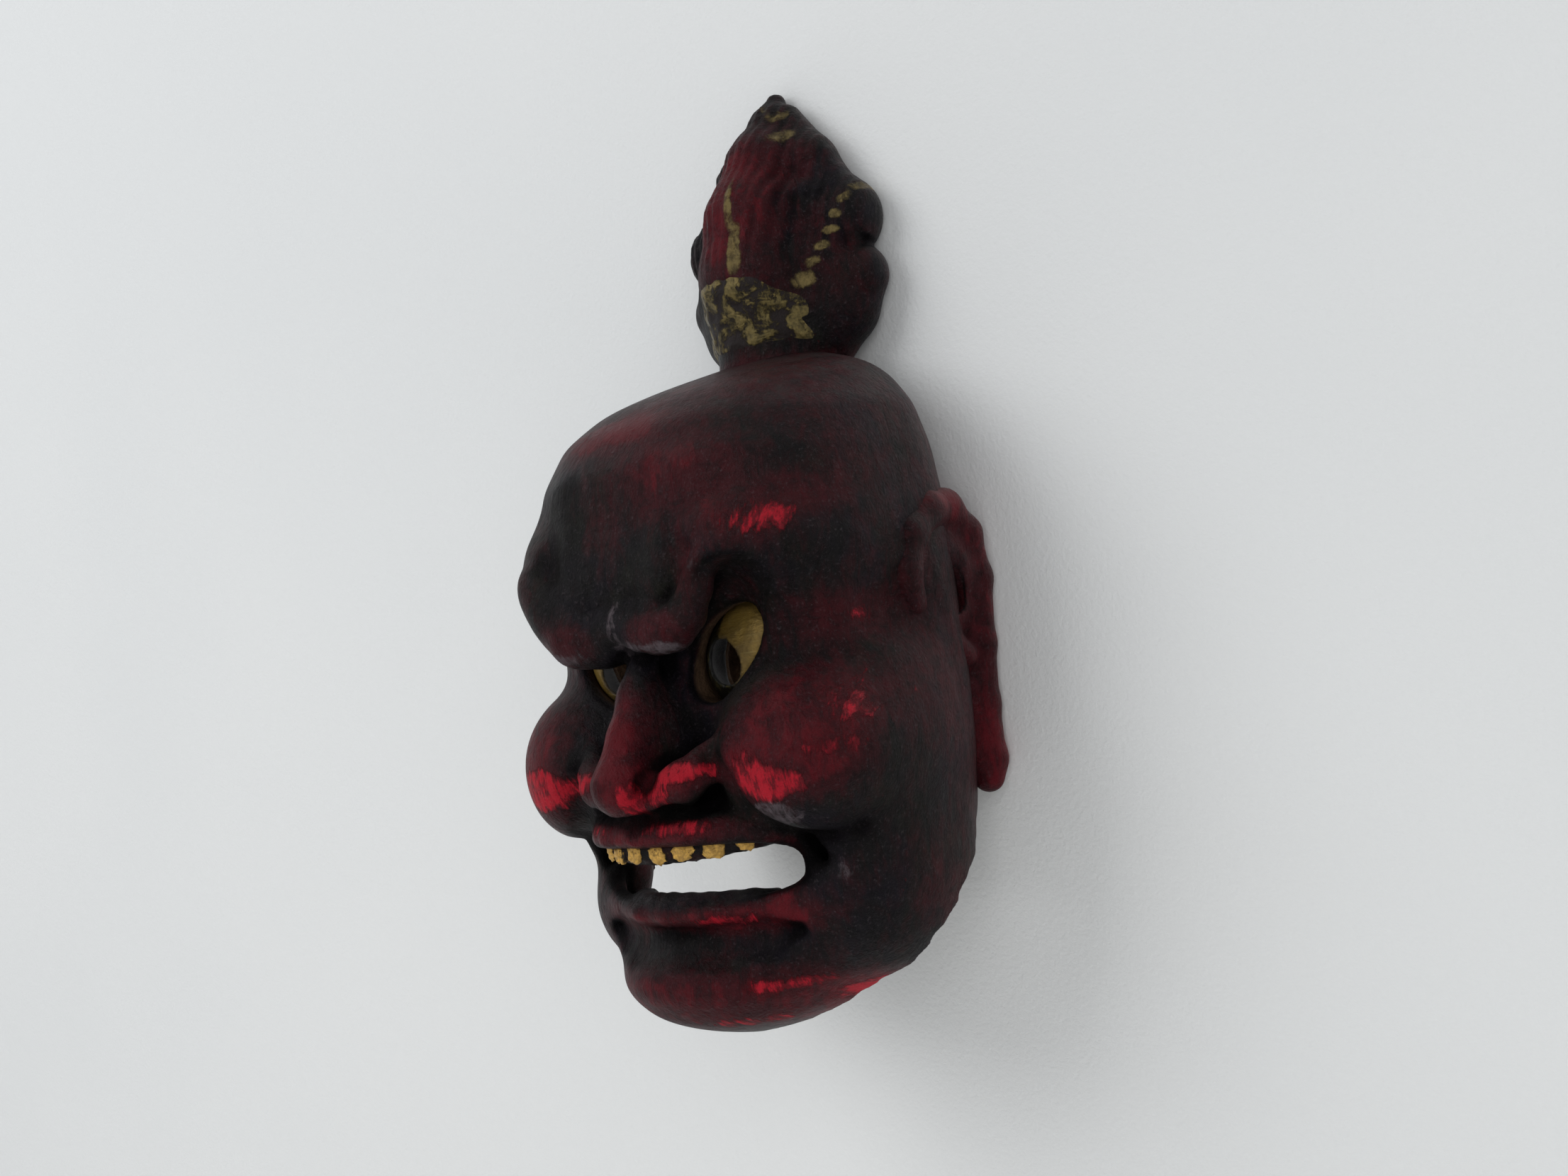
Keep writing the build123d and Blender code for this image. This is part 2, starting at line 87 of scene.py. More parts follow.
class Clay:
    """A block of signed distances (negative inside) that shapes are added to and cut from."""

    def __init__(self, low, high, step):
        self.step = step
        self.low = np.array(low, float)
        self.axes = [np.arange(a, b + step, step, dtype=np.float32) for a, b in zip(low, high)]
        self.d = np.full([len(a) for a in self.axes], EMPTY, np.float32)

    def window(self, low, high):
        cuts = []
        for axis, a, b in zip(self.axes, low, high):
            cuts.append(slice(int(np.searchsorted(axis, a)), int(np.searchsorted(axis, b, "right"))))
        x, d, z = (axis[c] for axis, c in zip(self.axes, cuts))
        return tuple(cuts), x[:, None, None], d[None, :, None], z[None, None, :]

    def whole(self):
        x, d, z = self.axes
        return x[:, None, None], d[None, :, None], z[None, None, :]

    def blend(self, shape, k, sign):
        """Joins a shape to the clay (sign 1) or takes it away (sign -1), with a fillet of about k."""
        field, low, high = shape
        pad = k + BLEND_PAD
        cut, x, d, z = self.window(low - pad, high + pad)
        if self.d[cut].size:
            self.d[cut] = sign * smooth_min(sign * self.d[cut], field(x, d, z), k)

    def add(self, shape, k):
        self.blend(shape, k, 1)

    def carve(self, shape, k):
        self.blend(shape, k, -1)

    def add_path(self, points, radii, k):
        for part in path(points, radii):
            self.add(part, k)

    def carve_path(self, points, radii, k):
        for part in path(points, radii):
            self.carve(part, k)

    def cut(self, distances, k):
        """Takes away a shape given as distances over the whole block."""
        self.d = -smooth_min(-self.d, distances, k)

    def press(self, points, width, depth):
        """A soft dent along a line of points; a negative depth is a swelling."""
        low, high = np.min(points, 0) - DENT_PAD * width, np.max(points, 0) + DENT_PAD * width
        cut, x, d, z = self.window(low, high)
        near = FAR
        for part in path(points, [0.0] * len(points)):
            near = np.minimum(near, part[0](x, d, z))
        self.d[cut] += (depth * np.exp(-(near / width) ** 2)).astype(np.float32)

    def like(self, distances, x_axis=None):
        """A block with other distances on the same grid, or on one with another x axis."""
        other = Clay.__new__(Clay)
        other.step, other.low, other.axes, other.d = self.step, self.low, self.axes, distances
        if x_axis is not None:
            other.axes = [x_axis, *self.axes[1:]]
            other.low = np.array([x_axis[0], *self.low[1:]], float)
        return other

    def mirrored(self):
        """The whole block, from the half with x from 0 up."""
        x = self.axes[0]
        return self.like(np.concatenate([self.d[:0:-1], self.d], axis=0), np.concatenate([-x[:0:-1], x]))

    def sample(self, points):
        """Distances at points, by straight-line mixing between grid points."""
        g = (points - self.low) / self.step
        g = np.clip(g, 0, np.array(self.d.shape) - 1.001)
        i = g.astype(int)
        f = g - i
        out = 0
        for a in (0, 1):
            for b in (0, 1):
                for c in (0, 1):
                    w = np.abs(1 - a - f[:, 0]) * np.abs(1 - b - f[:, 1]) * np.abs(1 - c - f[:, 2])
                    out = out + w * self.d[i[:, 0] + a, i[:, 1] + b, i[:, 2] + c]
        return out


def ellipsoid(centre, radii, turn=None):
    """turn: a 3x3 matrix whose rows are the ellipsoid's own axes."""
    c, r = np.array(centre, float), np.array(radii, float)
    m = np.eye(3) if turn is None else np.array(turn, float)

    def field(x, d, z):
        p = [x - c[0], d - c[1], z - c[2]]
        q = [m[i][0] * p[0] + m[i][1] * p[1] + m[i][2] * p[2] for i in range(3)]
        k0 = np.sqrt(sum((q[i] / r[i]) ** 2 for i in range(3)))
        k1 = np.sqrt(sum((q[i] / r[i] ** 2) ** 2 for i in range(3))) + 1e-6
        return k0 * (k0 - 1) / k1

    reach = np.full(3, r.max()) if turn is not None else r
    return field, c - reach, c + reach


def limb(a, b, ra, rb=None):
    """A rounded bar from a to b with its radius changing from ra to rb."""
    rb = ra if rb is None else rb
    a, b = np.array(a, float), np.array(b, float)
    ab = b - a
    length2 = float(ab @ ab) + 1e-9

    def field(x, d, z):
        t = np.clip(((x - a[0]) * ab[0] + (d - a[1]) * ab[1] + (z - a[2]) * ab[2]) / length2, 0, 1)
        px, pd, pz = x - a[0] - t * ab[0], d - a[1] - t * ab[1], z - a[2] - t * ab[2]
        return np.sqrt(px * px + pd * pd + pz * pz) - (ra + t * (rb - ra))

    r = max(ra, rb)
    return field, np.minimum(a, b) - r, np.maximum(a, b) + r


def path(points, radii):
    """The limbs along a line of points."""
    return [limb(p, q, r, s) for p, q, r, s in zip(points, points[1:], radii, radii[1:])]


def turn_d(degrees):
    """Rows of a frame turned in the plane of the face, outer end up."""
    c, s = math.cos(math.radians(degrees)), math.sin(math.radians(degrees))
    return [[c, 0, s], [0, 1, 0], [-s, 0, c]]


# ---------------------------------------------------------------- the head
# Height, depth of the section's middle, half width, depth of the front, reach behind, squareness in front.
HEAD_LEVELS = np.array([
    (-147, 50, 12, 82, 30, 2.4), (-142, 50, 30, 98, 30, 2.4), (-135, 48, 48, 112, 30, 2.4),
    (-122, 48, 64, 120, 34, 2.4), (-107, 48, 75, 116, 37, 2.6), (-88, 48, 80, 116, 37, 2.8),
    (-66, 48, 83, 112, 37, 2.9), (-45, 48, 86, 110, 37, 3.0), (-20, 48, 87, 110, 37, 3.1),
    (8, 48, 86, 112, 37, 3.1), (30, 48, 86, 121, 37, 3.0), (48, 48, 85, 128, 37, 2.9),
    (75, 48, 81, 126, 35, 2.5), (92, 46, 76, 115, 24, 2.4), (104, 41, 65, 97, 14, 2.4),
    (112, 35, 52, 74, 8, 2.3), (118, 30, 36, 52, 4, 2.2), (122, 26, 22, 38, 3, 2.2),
], float)
HEAD_TOP, HEAD_LOW = 122.0, -146.0
REAR_POWER = 1.5  # squareness of the sections behind their middle
# Height, and the depth of the sawn rear edge at that height, on the right and the left side.
NEAR_EDGE = np.array([
    (-170, 92), (-145, 86), (-132, 70), (-119, 61), (-104, 50), (-89, 33), (-66, 14), (-58, -8),
], float)
FAR_EDGE = np.array([
    (-170, 92), (-145, 86), (-132, 74), (-108, 68), (-83, 62), (-77, 44), (-69, 12), (-63, -8),
], float)
SHELL_T = 7.0  # wall thickness
WALL_GAP = 0.6  # depth of the rear edges in front of the wall


def level(z):
    """Smoothed columns of the head's levels at heights z."""
    table = HEAD_LEVELS
    fine = np.linspace(table[0, 0], table[-1, 0], 600)
    out = []
    for column in range(1, table.shape[1]):
        v = np.interp(fine, table[:, 0], table[:, column])
        for _ in range(60):
            v[1:-1] = (v[:-2] + 2 * v[1:-1] + v[2:]) / 4
        out.append(np.interp(z, fine, v))
    return out


def head_field(x, d, z):
    """The plain head: rounded sections stacked along its height."""
    middle, half, front, behind, power = (v[None, None, :] for v in level(z.ravel()))
    u = d - middle
    reach = np.where(u > 0, front - middle, middle + behind)
    power = np.where(u > 0, power, REAR_POWER + 0.9 * np.exp(u / 14.0))
    r = np.sqrt(x * x + u * u) + 1e-6
    rho = ((np.abs(x) / half) ** power + (np.abs(u) / reach) ** power) ** (1 / power) + 1e-6
    side = r * (1 - 1 / rho)
    steep = np.clip(np.gradient(level(z.ravel())[1], z.ravel() + 1e-9), -6, 6)[None, None, :]
    side = side / np.sqrt(1 + (steep * np.clip(rho, 0, 1)) ** 2)
    cap = np.maximum(z - HEAD_TOP, HEAD_LOW - z)
    return np.maximum(side, cap)


ARCH_D = 78.0  # depth of the middle of the arch that the lips, gums and teeth lie on
LIPS_R, LIPS_Z, LIPS_HALF_ANGLE = 48.5, -79.5, 76.0
HOLE_D, HOLE_Z, HOLE_HALF_ANGLE, HOLE_HALF_HEIGHT, HOLE_POWER = 70.0, -79.0, 60.0, 11.2, 3.2
LEDGE_R, GUM_R, TEETH_R, TEETH_PITCH_R = 40.5, 47.5, 51.7, 50.5


def on_arch(reach, degrees, z):
    """A point at a reach and an angle from the middle of the arch."""
    a = math.radians(degrees)
    return reach * math.sin(a), ARCH_D + reach * math.cos(a), z


def arch_rise(degrees):
    """How far the line of the teeth climbs towards the corner of the mouth."""
    return 4.0 * (abs(degrees) / 62) ** 1.6


def mouth_loop(count):
    """Centre line of the rolled lips, from the middle of the upper lip round the corner to the lower lip."""
    points, radii = [], []
    for i in range(count + 1):
        t = math.pi * (0.5 - i / count)
        a = math.radians(LIPS_HALF_ANGLE) * abs(math.cos(t)) ** 0.55
        rise = math.copysign(abs(math.sin(t)) ** 0.65, math.sin(t))
        tall, further = (15.8, 3.2) if rise > 0 else (14.0, -6.5)
        reach = LIPS_R + further * abs(rise)
        points.append((reach * math.sin(a), ARCH_D + reach * math.cos(a), LIPS_Z + tall * rise))
        radii.append(5.0 + 0.9 * abs(rise))
    return points, radii


def mouth_hole(x, d, z):
    """The opening between the lips, cut through the wall."""
    a = np.degrees(np.arctan2(x, np.maximum(d - HOLE_D, 1.0))) / HOLE_HALF_ANGLE
    v = (z - HOLE_Z) / HOLE_HALF_HEIGHT
    rho = (np.abs(a) ** HOLE_POWER + np.abs(v) ** HOLE_POWER) ** (1 / HOLE_POWER)
    return (rho - 1) * 12.0


EYE, EYE_RADII, EYE_SLANT = (33.0, 90.0, 1.5), (24.5, 18.5, 19.0), 44.0
EYE_COS, EYE_SIN = math.cos(math.radians(EYE_SLANT)), math.sin(math.radians(EYE_SLANT))
EYE_AXES = turn_d(EYE_SLANT)
LIDS = (22.5, 12.6)  # half length and half height of the opening in the lids
LIDS_BACK_D, LIDS_FRONT_D = 80, 115  # how deep that opening is cut, so that the brow hangs over it
PUPIL_X, PUPIL_UP, PUPIL_R = 29.5, -1.8, 8.6


def eye_opening(x, z):
    """The almond opening between the lids, seen from the front."""
    c, s = EYE_COS, EYE_SIN
    u, v = (x - EYE[0]) * c + (z - EYE[2]) * s, -(x - EYE[0]) * s + (z - EYE[2]) * c
    rho = np.sqrt((u / LIDS[0]) ** 2 + (v / LIDS[1]) ** 2)
    return (rho - 1) * LIDS[1]


def on_lids(degrees, out, depth):
    """A point on the rim of the lids, moved out from the opening."""
    c, s, angle = EYE_COS, EYE_SIN, math.radians(degrees)
    u, v = (LIDS[0] + out) * math.cos(angle), (LIDS[1] + out) * math.sin(angle)
    x, z = EYE[0] + u * c - v * s, EYE[2] + u * s + v * c
    inside = 1 - (u / (EYE_RADII[0] + 4)) ** 2 - (v / (EYE_RADII[2] + 4)) ** 2
    return x, EYE[1] + (EYE_RADII[1] + 1) * math.sqrt(max(inside, 0.05)) + depth, z


def sculpt_head():
    """The hollow head, and its right half before it is hollowed."""
    clay = Clay((0.0, -6.0, -153.0), (97.0, 153.0, 125.0), STEP)
    x, d, z = clay.whole()
    clay.d = head_field(x, d, z).astype(np.float32)
    base = clay.d.copy()
    add, carve, add_path, carve_path = clay.add, clay.carve, clay.add_path, clay.carve_path

    # frown lobes, the ridge that edges them, and the furrow between them
    add(ellipsoid((24, 109, 32), (27, 25, 25)), 8)
    add(ellipsoid((40, 103, 40), (30, 28, 27)), 10)
    add(ellipsoid((0, 110, 34), (14, 21, 24)), 8)
    brow = [(8, 124, 17), (18, 127.5, 13.5), (28, 128.5, 13.5), (38, 127, 20), (45, 125.5, 29),
            (51, 123.5, 37), (61, 112, 40), (70, 97, 40), (77, 82, 38)]
    add_path(brow, [7, 7.2, 7.2, 6.6, 6.4, 6.0, 6.0, 5.5, 4], 6)
    carve_path([(0, 139, 4), (0, 137.5, 22), (0, 135, 42), (1.5, 130.5, 64)], [3.2, 3.6, 2.6, 0.8], 4)
    carve_path([(7.5, 139, 16), (9.5, 138.5, 30), (10.5, 136, 44), (12, 132, 58)], [0.8, 1.6, 1.4, 0.6], 4)
    carve_path([(24, 139, 20), (34, 136, 30), (37, 133, 40), (33, 133.5, 52)], [1.0, 3.0, 3.0, 1.0], 8)
    # sockets, lids and bags
    carve(ellipsoid((43, 125, 12), (27, 18, 16), turn_d(44)), 9)
    carve(ellipsoid((16, 127, -2), (9, 13, 9)), 5)
    add_path([(11, 125, 15), (19, 127.5, 12.5), (27, 128, 12.5), (34, 127, 17), (40, 126.5, 26),
              (44, 126, 34)], [6.5, 8.2, 8.0, 6.8, 5.6, 5.0], 3.5)
    add_path([(0, 127, 17), (9, 127, 14), (18, 127, 13)], [7.5, 7.8, 7.8], 3.5)
    carve_path([(0, 138.5, 9), (0, 137.5, 24), (0, 135, 40)], [1.6, 1.8, 1.2], 3)
    add(ellipsoid(EYE, (EYE_RADII[0] + 3.2, EYE_RADII[1] + 1.6, EYE_RADII[2] + 1.5), EYE_AXES), 4)
    ring = [on_lids(i * 15, 2.6, 0.3) for i in range(25)]
    add_path(ring, [2.9] * 25, 3)
    bag = [on_lids(a, 9.5, -2.5) for a in range(190, 345, 15)]
    add_path(bag, [2.0, 3.2, 3.8, 4.2, 4.4, 4.4, 4.2, 3.8, 3.2, 2.4, 1.6], 4)
    # temples
    carve(ellipsoid((96, 72, 10), (15, 26, 15)), 12)
    # cheeks, running down into the jowls
    add(ellipsoid((55.5, 93, -38), (34.6, 35, 35)), 8)
    add(ellipsoid((66, 70, -34), (25, 34, 34)), 14)
    add(ellipsoid((62, 66, -84), (21, 34, 36)), 14)
    # nose: bridge, tip, wings
    add_path([(0, 117, 6), (0, 125, -11), (0, 132, -27), (0, 136.5, -43)], [6, 6.6, 7.6, 12.8], 4.5)
    add(ellipsoid((0, 114, -30), (15, 18, 25)), 8)
    add_path([(13, 131, -48), (23, 128, -44), (32, 123, -38), (37, 117, -31)], [7.4, 7.6, 6.6, 4.5], 3.5)
    carve_path([(11, 144, -52), (13.5, 138, -42), (13, 131, -30)], [1.2, 2.4, 1.2], 3.5)
    carve_path([(12, 134, -59), (19, 129, -52)], [4.4, 3.6], 2.5)
    # folds from the nose past the cheeks
    carve_path([(33, 129, -27), (42, 127, -44), (45, 121, -60), (54, 110, -71), (63, 99, -76)],
               [1.5, 4.0, 4.6, 4.2, 1.5], 5)
    carve_path([(58, 96, -70), (62, 88, -82), (60, 86, -95)], [1.2, 2.2, 0.8], 8)
    clay.press([(40, 130, -48), (50, 121, -60), (62, 108, -66), (74, 92, -64)], 5.0, 3.2)
    clay.press([(48, 124, -34), (60, 118, -50), (72, 104, -54)], 8.0, -2.0)
    clay.press([(22, 138, 36), (17, 134, 54), (22, 127, 72)], 5.5, 1.6)
    clay.press([(32, 136, 40), (36, 130, 56), (52, 122, 64)], 6.0, 1.8)
    clay.press([(14, 134, 62), (36, 127, 72)], 9.0, -1.5)
    # muzzle and rolled lips
    add(ellipsoid((0, 90, -64), (50, 43, 17)), 8)
    carve(ellipsoid((0, 136, -84), (34, 14, 17)), 6)
    points, radii = mouth_loop(30)
    add_path(points, radii, 4.0)
    clay.press([(54, 104, -62), (60, 94, -71), (61, 88, -83)], 5.0, 2.0)
    carve_path([(0, 136, -53), (0, 137, -60)], [2.2, 2.6], 4)
    # chin and its crease
    add(ellipsoid((0, 88, -121), (45, 41, 20.5)), 9)
    carve_path([(0, 127, -107), (24, 121, -106), (40, 112, -104), (50, 103, -102)], [5.0, 5.2, 3.6, 0.8], 7)
    # the groove the ear sits behind
    carve_path([(93, 50, 30), (94, 42, 8), (93, 34, -24), (88, 26, -52)], [3, 5, 5, 3], 7)

    outside = clay.d.copy()
    inner = np.maximum(outside + SHELL_T - 1.0, base + SHELL_T + 1.0)
    clay.d = np.maximum(clay.d, -inner)
    # wood left round the eyes, behind the lids
    boss = ellipsoid(EYE, (31, 21, 27), EYE_AXES)
    clay.d = np.minimum(clay.d, np.maximum(np.maximum(boss[0](x, d, z), outside), 84.0 - d))
    room = ellipsoid(EYE, [r + 0.3 for r in EYE_RADII], EYE_AXES)[0](x, d, z)
    clay.d = np.maximum(clay.d, -np.maximum(room, -40.0))
    lids_cut = np.maximum(np.maximum(eye_opening(x, z), LIDS_BACK_D - d), d - LIDS_FRONT_D)
    clay.cut(lids_cut, 1.6)
    clay.cut(np.maximum(mouth_hole(x, d, z), 60 - d), 3.0)
    # the gum ledge behind the lower lip
    ledge = [on_arch(LEDGE_R, a, -90.5 - 0.02 * a) for a in range(-12, 61, 12)]
    add_path(ledge, [3.8] * len(ledge), 3)
    whole = clay.mirrored()
    # the left brow is carved fuller
    whole.add_path([(-16, 121, 11), (-27, 125, 17), (-38, 125, 25), (-46, 122, 32), (-52, 114, 38)],
                   [9, 10.5, 10, 9.5, 7], 9)
    # the rear: flat on the wall, swept forward along the jaw with a rough sawn edge, further on one side
    x, d, z = whole.whole()
    heights = z.ravel()
    near = np.interp(heights, NEAR_EDGE[:, 0], NEAR_EDGE[:, 1])[None, None, :]
    far = np.interp(heights, FAR_EDGE[:, 0], FAR_EDGE[:, 1])[None, None, :]
    edge = np.where(x > 0, near, far)
    wobble = 1.4 * np.sin(z * 0.33 + 1.0) + 1.0 * np.sin(z * 0.83 + x * 0.1) + 0.6 * np.sin(x * 0.6 + z * 0.4)
    rear = np.maximum(WALL_GAP, edge + np.where(edge > 1, wobble, 0)) - d
    whole.cut(-rear, 1.5)
    whole.d = whole.d.astype(np.float32)
    return whole, clay.like(outside)


# ---------------------------------------------------------------- eyes and teeth
def sculpt_eye():
    """The right eye's gilt shell with its pupil hole, and the ball it is cut from."""
    clay = Clay((5.0, 78.0, -27.0), (62.0, 112.0, 30.0), 1.0)
    x, d, z = clay.whole()
    ball = ellipsoid(EYE, EYE_RADII, EYE_AXES)[0](x, d, z)
    clay.d = np.maximum(ball, -(ball + 2.0))
    clay.d = np.maximum(clay.d, 88.0 - d)
    pupil = np.sqrt((x - PUPIL_X) ** 2 + (z - PUPIL_UP) ** 2) - PUPIL_R
    clay.cut(pupil + 0 * d, 1.0)
    return clay, clay.like(ball)


def sculpt_gum():
    """The dark bar under the upper lip that carries the teeth."""
    clay = Clay((0.0, 84.0, -78.0), (52.0, 132.0, -52.0), 1.2)
    x, d, z = clay.whole()
    for height, r in ((-63.5, 3.8), (-70.0, 3.6)):
        gum = [on_arch(GUM_R, a, height + arch_rise(a)) for a in range(-6, 67, 6)]
        clay.add_path(gum, [r] * len(gum), 4)
    clay.d = clay.d + (0.25 * np.sin(x * 1.1 + z * 0.8) + 0.2 * np.sin(z * 1.9 + d)).astype(np.float32)
    return clay.mirrored()


# Distance across from the middle, half width and half height of each tooth.
TEETH = ((6.2, 4.5, 3.8), (17.0, 4.9, 4.2), (27.4, 4.8, 4.0), (36.4, 4.6, 4.2), (43.0, 3.6, 3.4))


def sculpt_teeth(side):
    """Five chipped gilt teeth on one side of the arch."""
    clay = Clay((-2.0, 84.0, -82.0), (54.0, 134.0, -60.0), 0.9)
    x, d, z = clay.whole()
    for i, (across, wide, tall) in enumerate(TEETH):
        angle = math.asin(across / TEETH_PITCH_R)
        c, s = math.cos(angle), math.sin(angle)
        lift = arch_rise(math.degrees(angle))
        centre = (TEETH_R * s, ARCH_D + TEETH_R * c, -70.6 + lift + 0.7 * math.sin(i * 2.3 + side * 1.7))
        tilt = 0.12 * math.sin(i * 1.9 + side)
        rows = [[c, -s, tilt], [s, c, 0], [-tilt * c, tilt * s, 1]]
        clay.add(ellipsoid(centre, (wide, 1.9, tall + 0.6 * math.sin(i * 3.1 + side * 2)), rows), 0.4)
    chips = 0.32 * np.sin(x * 1.3 + z * 0.9 + side) + 0.28 * np.sin(z * 2.1 - x * 0.8 + d * 1.1)
    clay.d = clay.d + chips.astype(np.float32)
    return clay


# ---------------------------------------------------------------- ears
def sculpt_ear():
    """The long right ear: a rolled rim, the bowl inside it and the lobe."""
    clay = Clay((54.0, -4.0, -72.0), (100.0, 72.0, 60.0), 1.3)
    x, d, z = clay.whole()
    helix = [(79, 52, 12), (81, 57, 25), (81, 52, 38), (79, 38, 47), (76, 22, 48), (76, 10, 38),
             (76.5, 6.5, 20), (75, 6.5, -6), (73.5, 7, -30), (73.5, 8, -52), (73, 9, -59)]
    clay.add_path(helix, [6.0, 6.8, 7.4, 7.8, 7.6, 6.8, 6.4, 6.0, 6.2, 7.0, 6.4], 3.5)
    clay.add(ellipsoid((72, 30, 22), (12, 26, 26)), 4)
    clay.add(limb((69, 14, 2), (68, 12, -50), 8, 7), 5)
    clay.add(limb((77, 42, 6), (76, 20, -10), 6, 5), 5)
    clay.carve_path([(90, 34, 34), (89, 26, 26), (86, 17, 12), (84, 14, -4)], [5.0, 6.5, 5.0, 2.0], 3)
    clay.carve(limb((86, 32, 20), (76, 26, 13), 9.5, 7.0), 2.5)
    clay.carve(limb((92, 44, 26), (86, 40, 12), 5.0, 3.0), 3)
    clay.cut(d - WALL_GAP + 0 * x, 1.5)
    return clay


# ---------------------------------------------------------------- topknot
TIE_HALF_WIDTH, TIE_BACK_D = 30.0, 14.0


def sculpt_topknot():
    """The topknot with its side lobes, and the tie round its foot."""
    clay = Clay((0.0, -4.0, CROWN_Z - 8.0), (58.0, 66.0, TOP_Z + 4.0), STEP * 0.9)
    x, d, z = clay.whole()
    spine = [(0, 24, 116), (0, 25, 134), (0, 30, 156), (0, 26, 180), (0, 17, 206), (0, 9, 224), (0, 5, 235)]
    clay.add_path(spine, [25, 22.5, 24, 22, 16, 9.5, 4.6], 4)
    clay.add_path([(14, 12, 122), (31, 12, 138), (39, 11, 151)], [12, 13, 13], 5)
    clay.add(ellipsoid((35, 10, 176), (16.5, 15, 17)), 3)
    clay.add_path([(18, 19, 132), (22, 20, 158), (19, 18, 184), (12, 12, 206)], [15, 16, 14, 9], 9)
    clay.add_path([(30, 10, 186), (20, 10, 204), (8, 7, 226)], [12, 11, 6], 4)
    clay.press([(30, 33, 156), (28, 31, 174), (23, 26, 194)], 9.0, 4.5)
    clay.press([(30, 22, 200), (36, 20, 188)], 6.0, 1.5)
    clay.cut(d - WALL_GAP + 0 * x, 1.5)
    plain = clay.d.copy()
    # combed strands
    comb = 0.5 * np.sin(x * 1.35 + np.sin(z * 0.05) * 2.0) * np.clip((z - 158) / 8, 0, 1)
    clay.d = clay.d + comb.astype(np.float32) * np.clip((d - 6) / 6, 0, 1)
    clay.d = np.maximum(clay.d, CROWN_Z - 2.0 - z)
    # the tie: a thin cushion over the knot with soft folds
    lower = 124.0 + 0 * x
    upper = 157.0 - 0.022 * np.maximum(x - 4, 0) ** 2 + 0 * x
    inward = np.minimum(np.minimum(upper - z, z - lower), np.minimum(TIE_HALF_WIDTH - x, d - TIE_BACK_D))
    cushion = 2.4 * np.sqrt(np.clip(inward / 9.0, 0, 1)) - 1.2
    folds = 0.35 * np.sin(z * 0.55 + np.sin(x * 0.25) * 1.5) + 0.2 * np.sin(x * 0.8 + z * 0.3)
    tie = np.maximum(plain - cushion - folds * np.clip(inward / 4, 0, 1), -(plain + 2.2)).astype(np.float32)
    tie = np.maximum(np.maximum(tie, -inward - 0.5), TIE_BACK_D - d).astype(np.float32)
    return clay.mirrored(), clay.like(tie).mirrored()


# ---------------------------------------------------------------- clay to mesh
BAND = 6.0  # distances past this are all alike to the mesher
SMOOTHING = (0.55, -0.57)  # a step inwards and one outwards, so that nothing shrinks
WEAR_AND_SHADE_GAIN = 1.6  # how quickly hollows and ridges count as such


def skin(clay, name, smooth=2):
    """A closed mesh of the clay's surface, and its points in the mask frame."""
    grid = openvdb.FloatGrid(BAND)
    pad = np.pad(clay.d, 1, constant_values=BAND).astype(np.float32)
    grid.copyFromArray(np.clip(pad, -BAND, BAND))
    points, quads = grid.convertToQuads(isovalue=0.0)
    points = (points - 1.0) * clay.step + clay.low
    edges = np.concatenate([quads[:, [0, 1]], quads[:, [1, 2]], quads[:, [2, 3]], quads[:, [3, 0]]])
    count = len(points)
    degree = np.maximum(np.bincount(edges.ravel(), minlength=count), 1)[:, None]
    for weight in SMOOTHING * smooth:
        total = np.stack([
            np.bincount(edges[:, 0], points[edges[:, 1], k], count)
            + np.bincount(edges[:, 1], points[edges[:, 0], k], count) for k in range(3)], 1)
        points = points + weight * (total / degree - points)
    mesh = bpy.data.meshes.new(name)
    row = to_row(points)
    mesh.vertices.add(count)
    mesh.vertices.foreach_set("co", row.astype(np.float32).ravel())
    mesh.loops.add(len(quads) * 4)
    mesh.loops.foreach_set("vertex_index", quads.astype(np.int32).ravel())
    mesh.polygons.add(len(quads))
    mesh.polygons.foreach_set("loop_start", np.arange(0, len(quads) * 4, 4, dtype=np.int32))
    mesh.polygons.foreach_set("loop_total", np.full(len(quads), 4, np.int32))
    mesh.polygons.foreach_set("use_smooth", np.ones(len(quads), bool))
    mesh.update()
    mesh.validate()
    obj = bpy.data.objects.new(name, mesh)
    link(obj)
    return obj, points


def volume_of(obj):
    """Signed volume, to find meshes that are inside out."""
    mesh = obj.data
    co = np.zeros(len(mesh.vertices) * 3)
    mesh.vertices.foreach_get("co", co)
    co = co.reshape(-1, 3)
    mesh.calc_loop_triangles()
    tri = np.zeros(len(mesh.loop_triangles) * 3, int)
    mesh.loop_triangles.foreach_get("vertices", tri)
    a, b, c = (co[tri.reshape(-1, 3)[:, i]] for i in range(3))
    return float(np.einsum("ij,ij->i", a, np.cross(b, c)).sum() / 6)


def outward(obj):
    if volume_of(obj) < 0:
        obj.data.flip_normals()
    return obj


def normals(obj):
    n = np.zeros(len(obj.data.vertices) * 3)
    obj.data.vertices.foreach_get("normal", n)
    n = n.reshape(-1, 3)
    return np.stack([n[:, 0], -n[:, 1], n[:, 2]], 1)


def sunk(clay, points, normal, reaches=(2.5, 5.0, 9.0)):
    """0 on open surfaces, towards 1 in crevices and under overhangs."""
    total = 0
    for reach in reaches:
        seen = clay.sample(points + normal * reach) / reach
        total = total + np.clip(1 - seen, 0, 1)
    return np.clip(total / len(reaches) * WEAR_AND_SHADE_GAIN, 0, 1)


def raised(clay, points, normal, reaches=(3.0, 6.0)):
    """Towards 1 on ridges and edges that hands and cloths rub."""
    total = 0
    for reach in reaches:
        under = -clay.sample(points - normal * reach) / reach
        total = total + np.clip(1 - under, 0, 1)
    return np.clip(total / len(reaches) * WEAR_AND_SHADE_GAIN, 0, 1)


def attribute(obj, name, values):
    layer = obj.data.attributes.new(name, "FLOAT", "POINT")
    layer.data.foreach_set("value", np.asarray(values, np.float32))


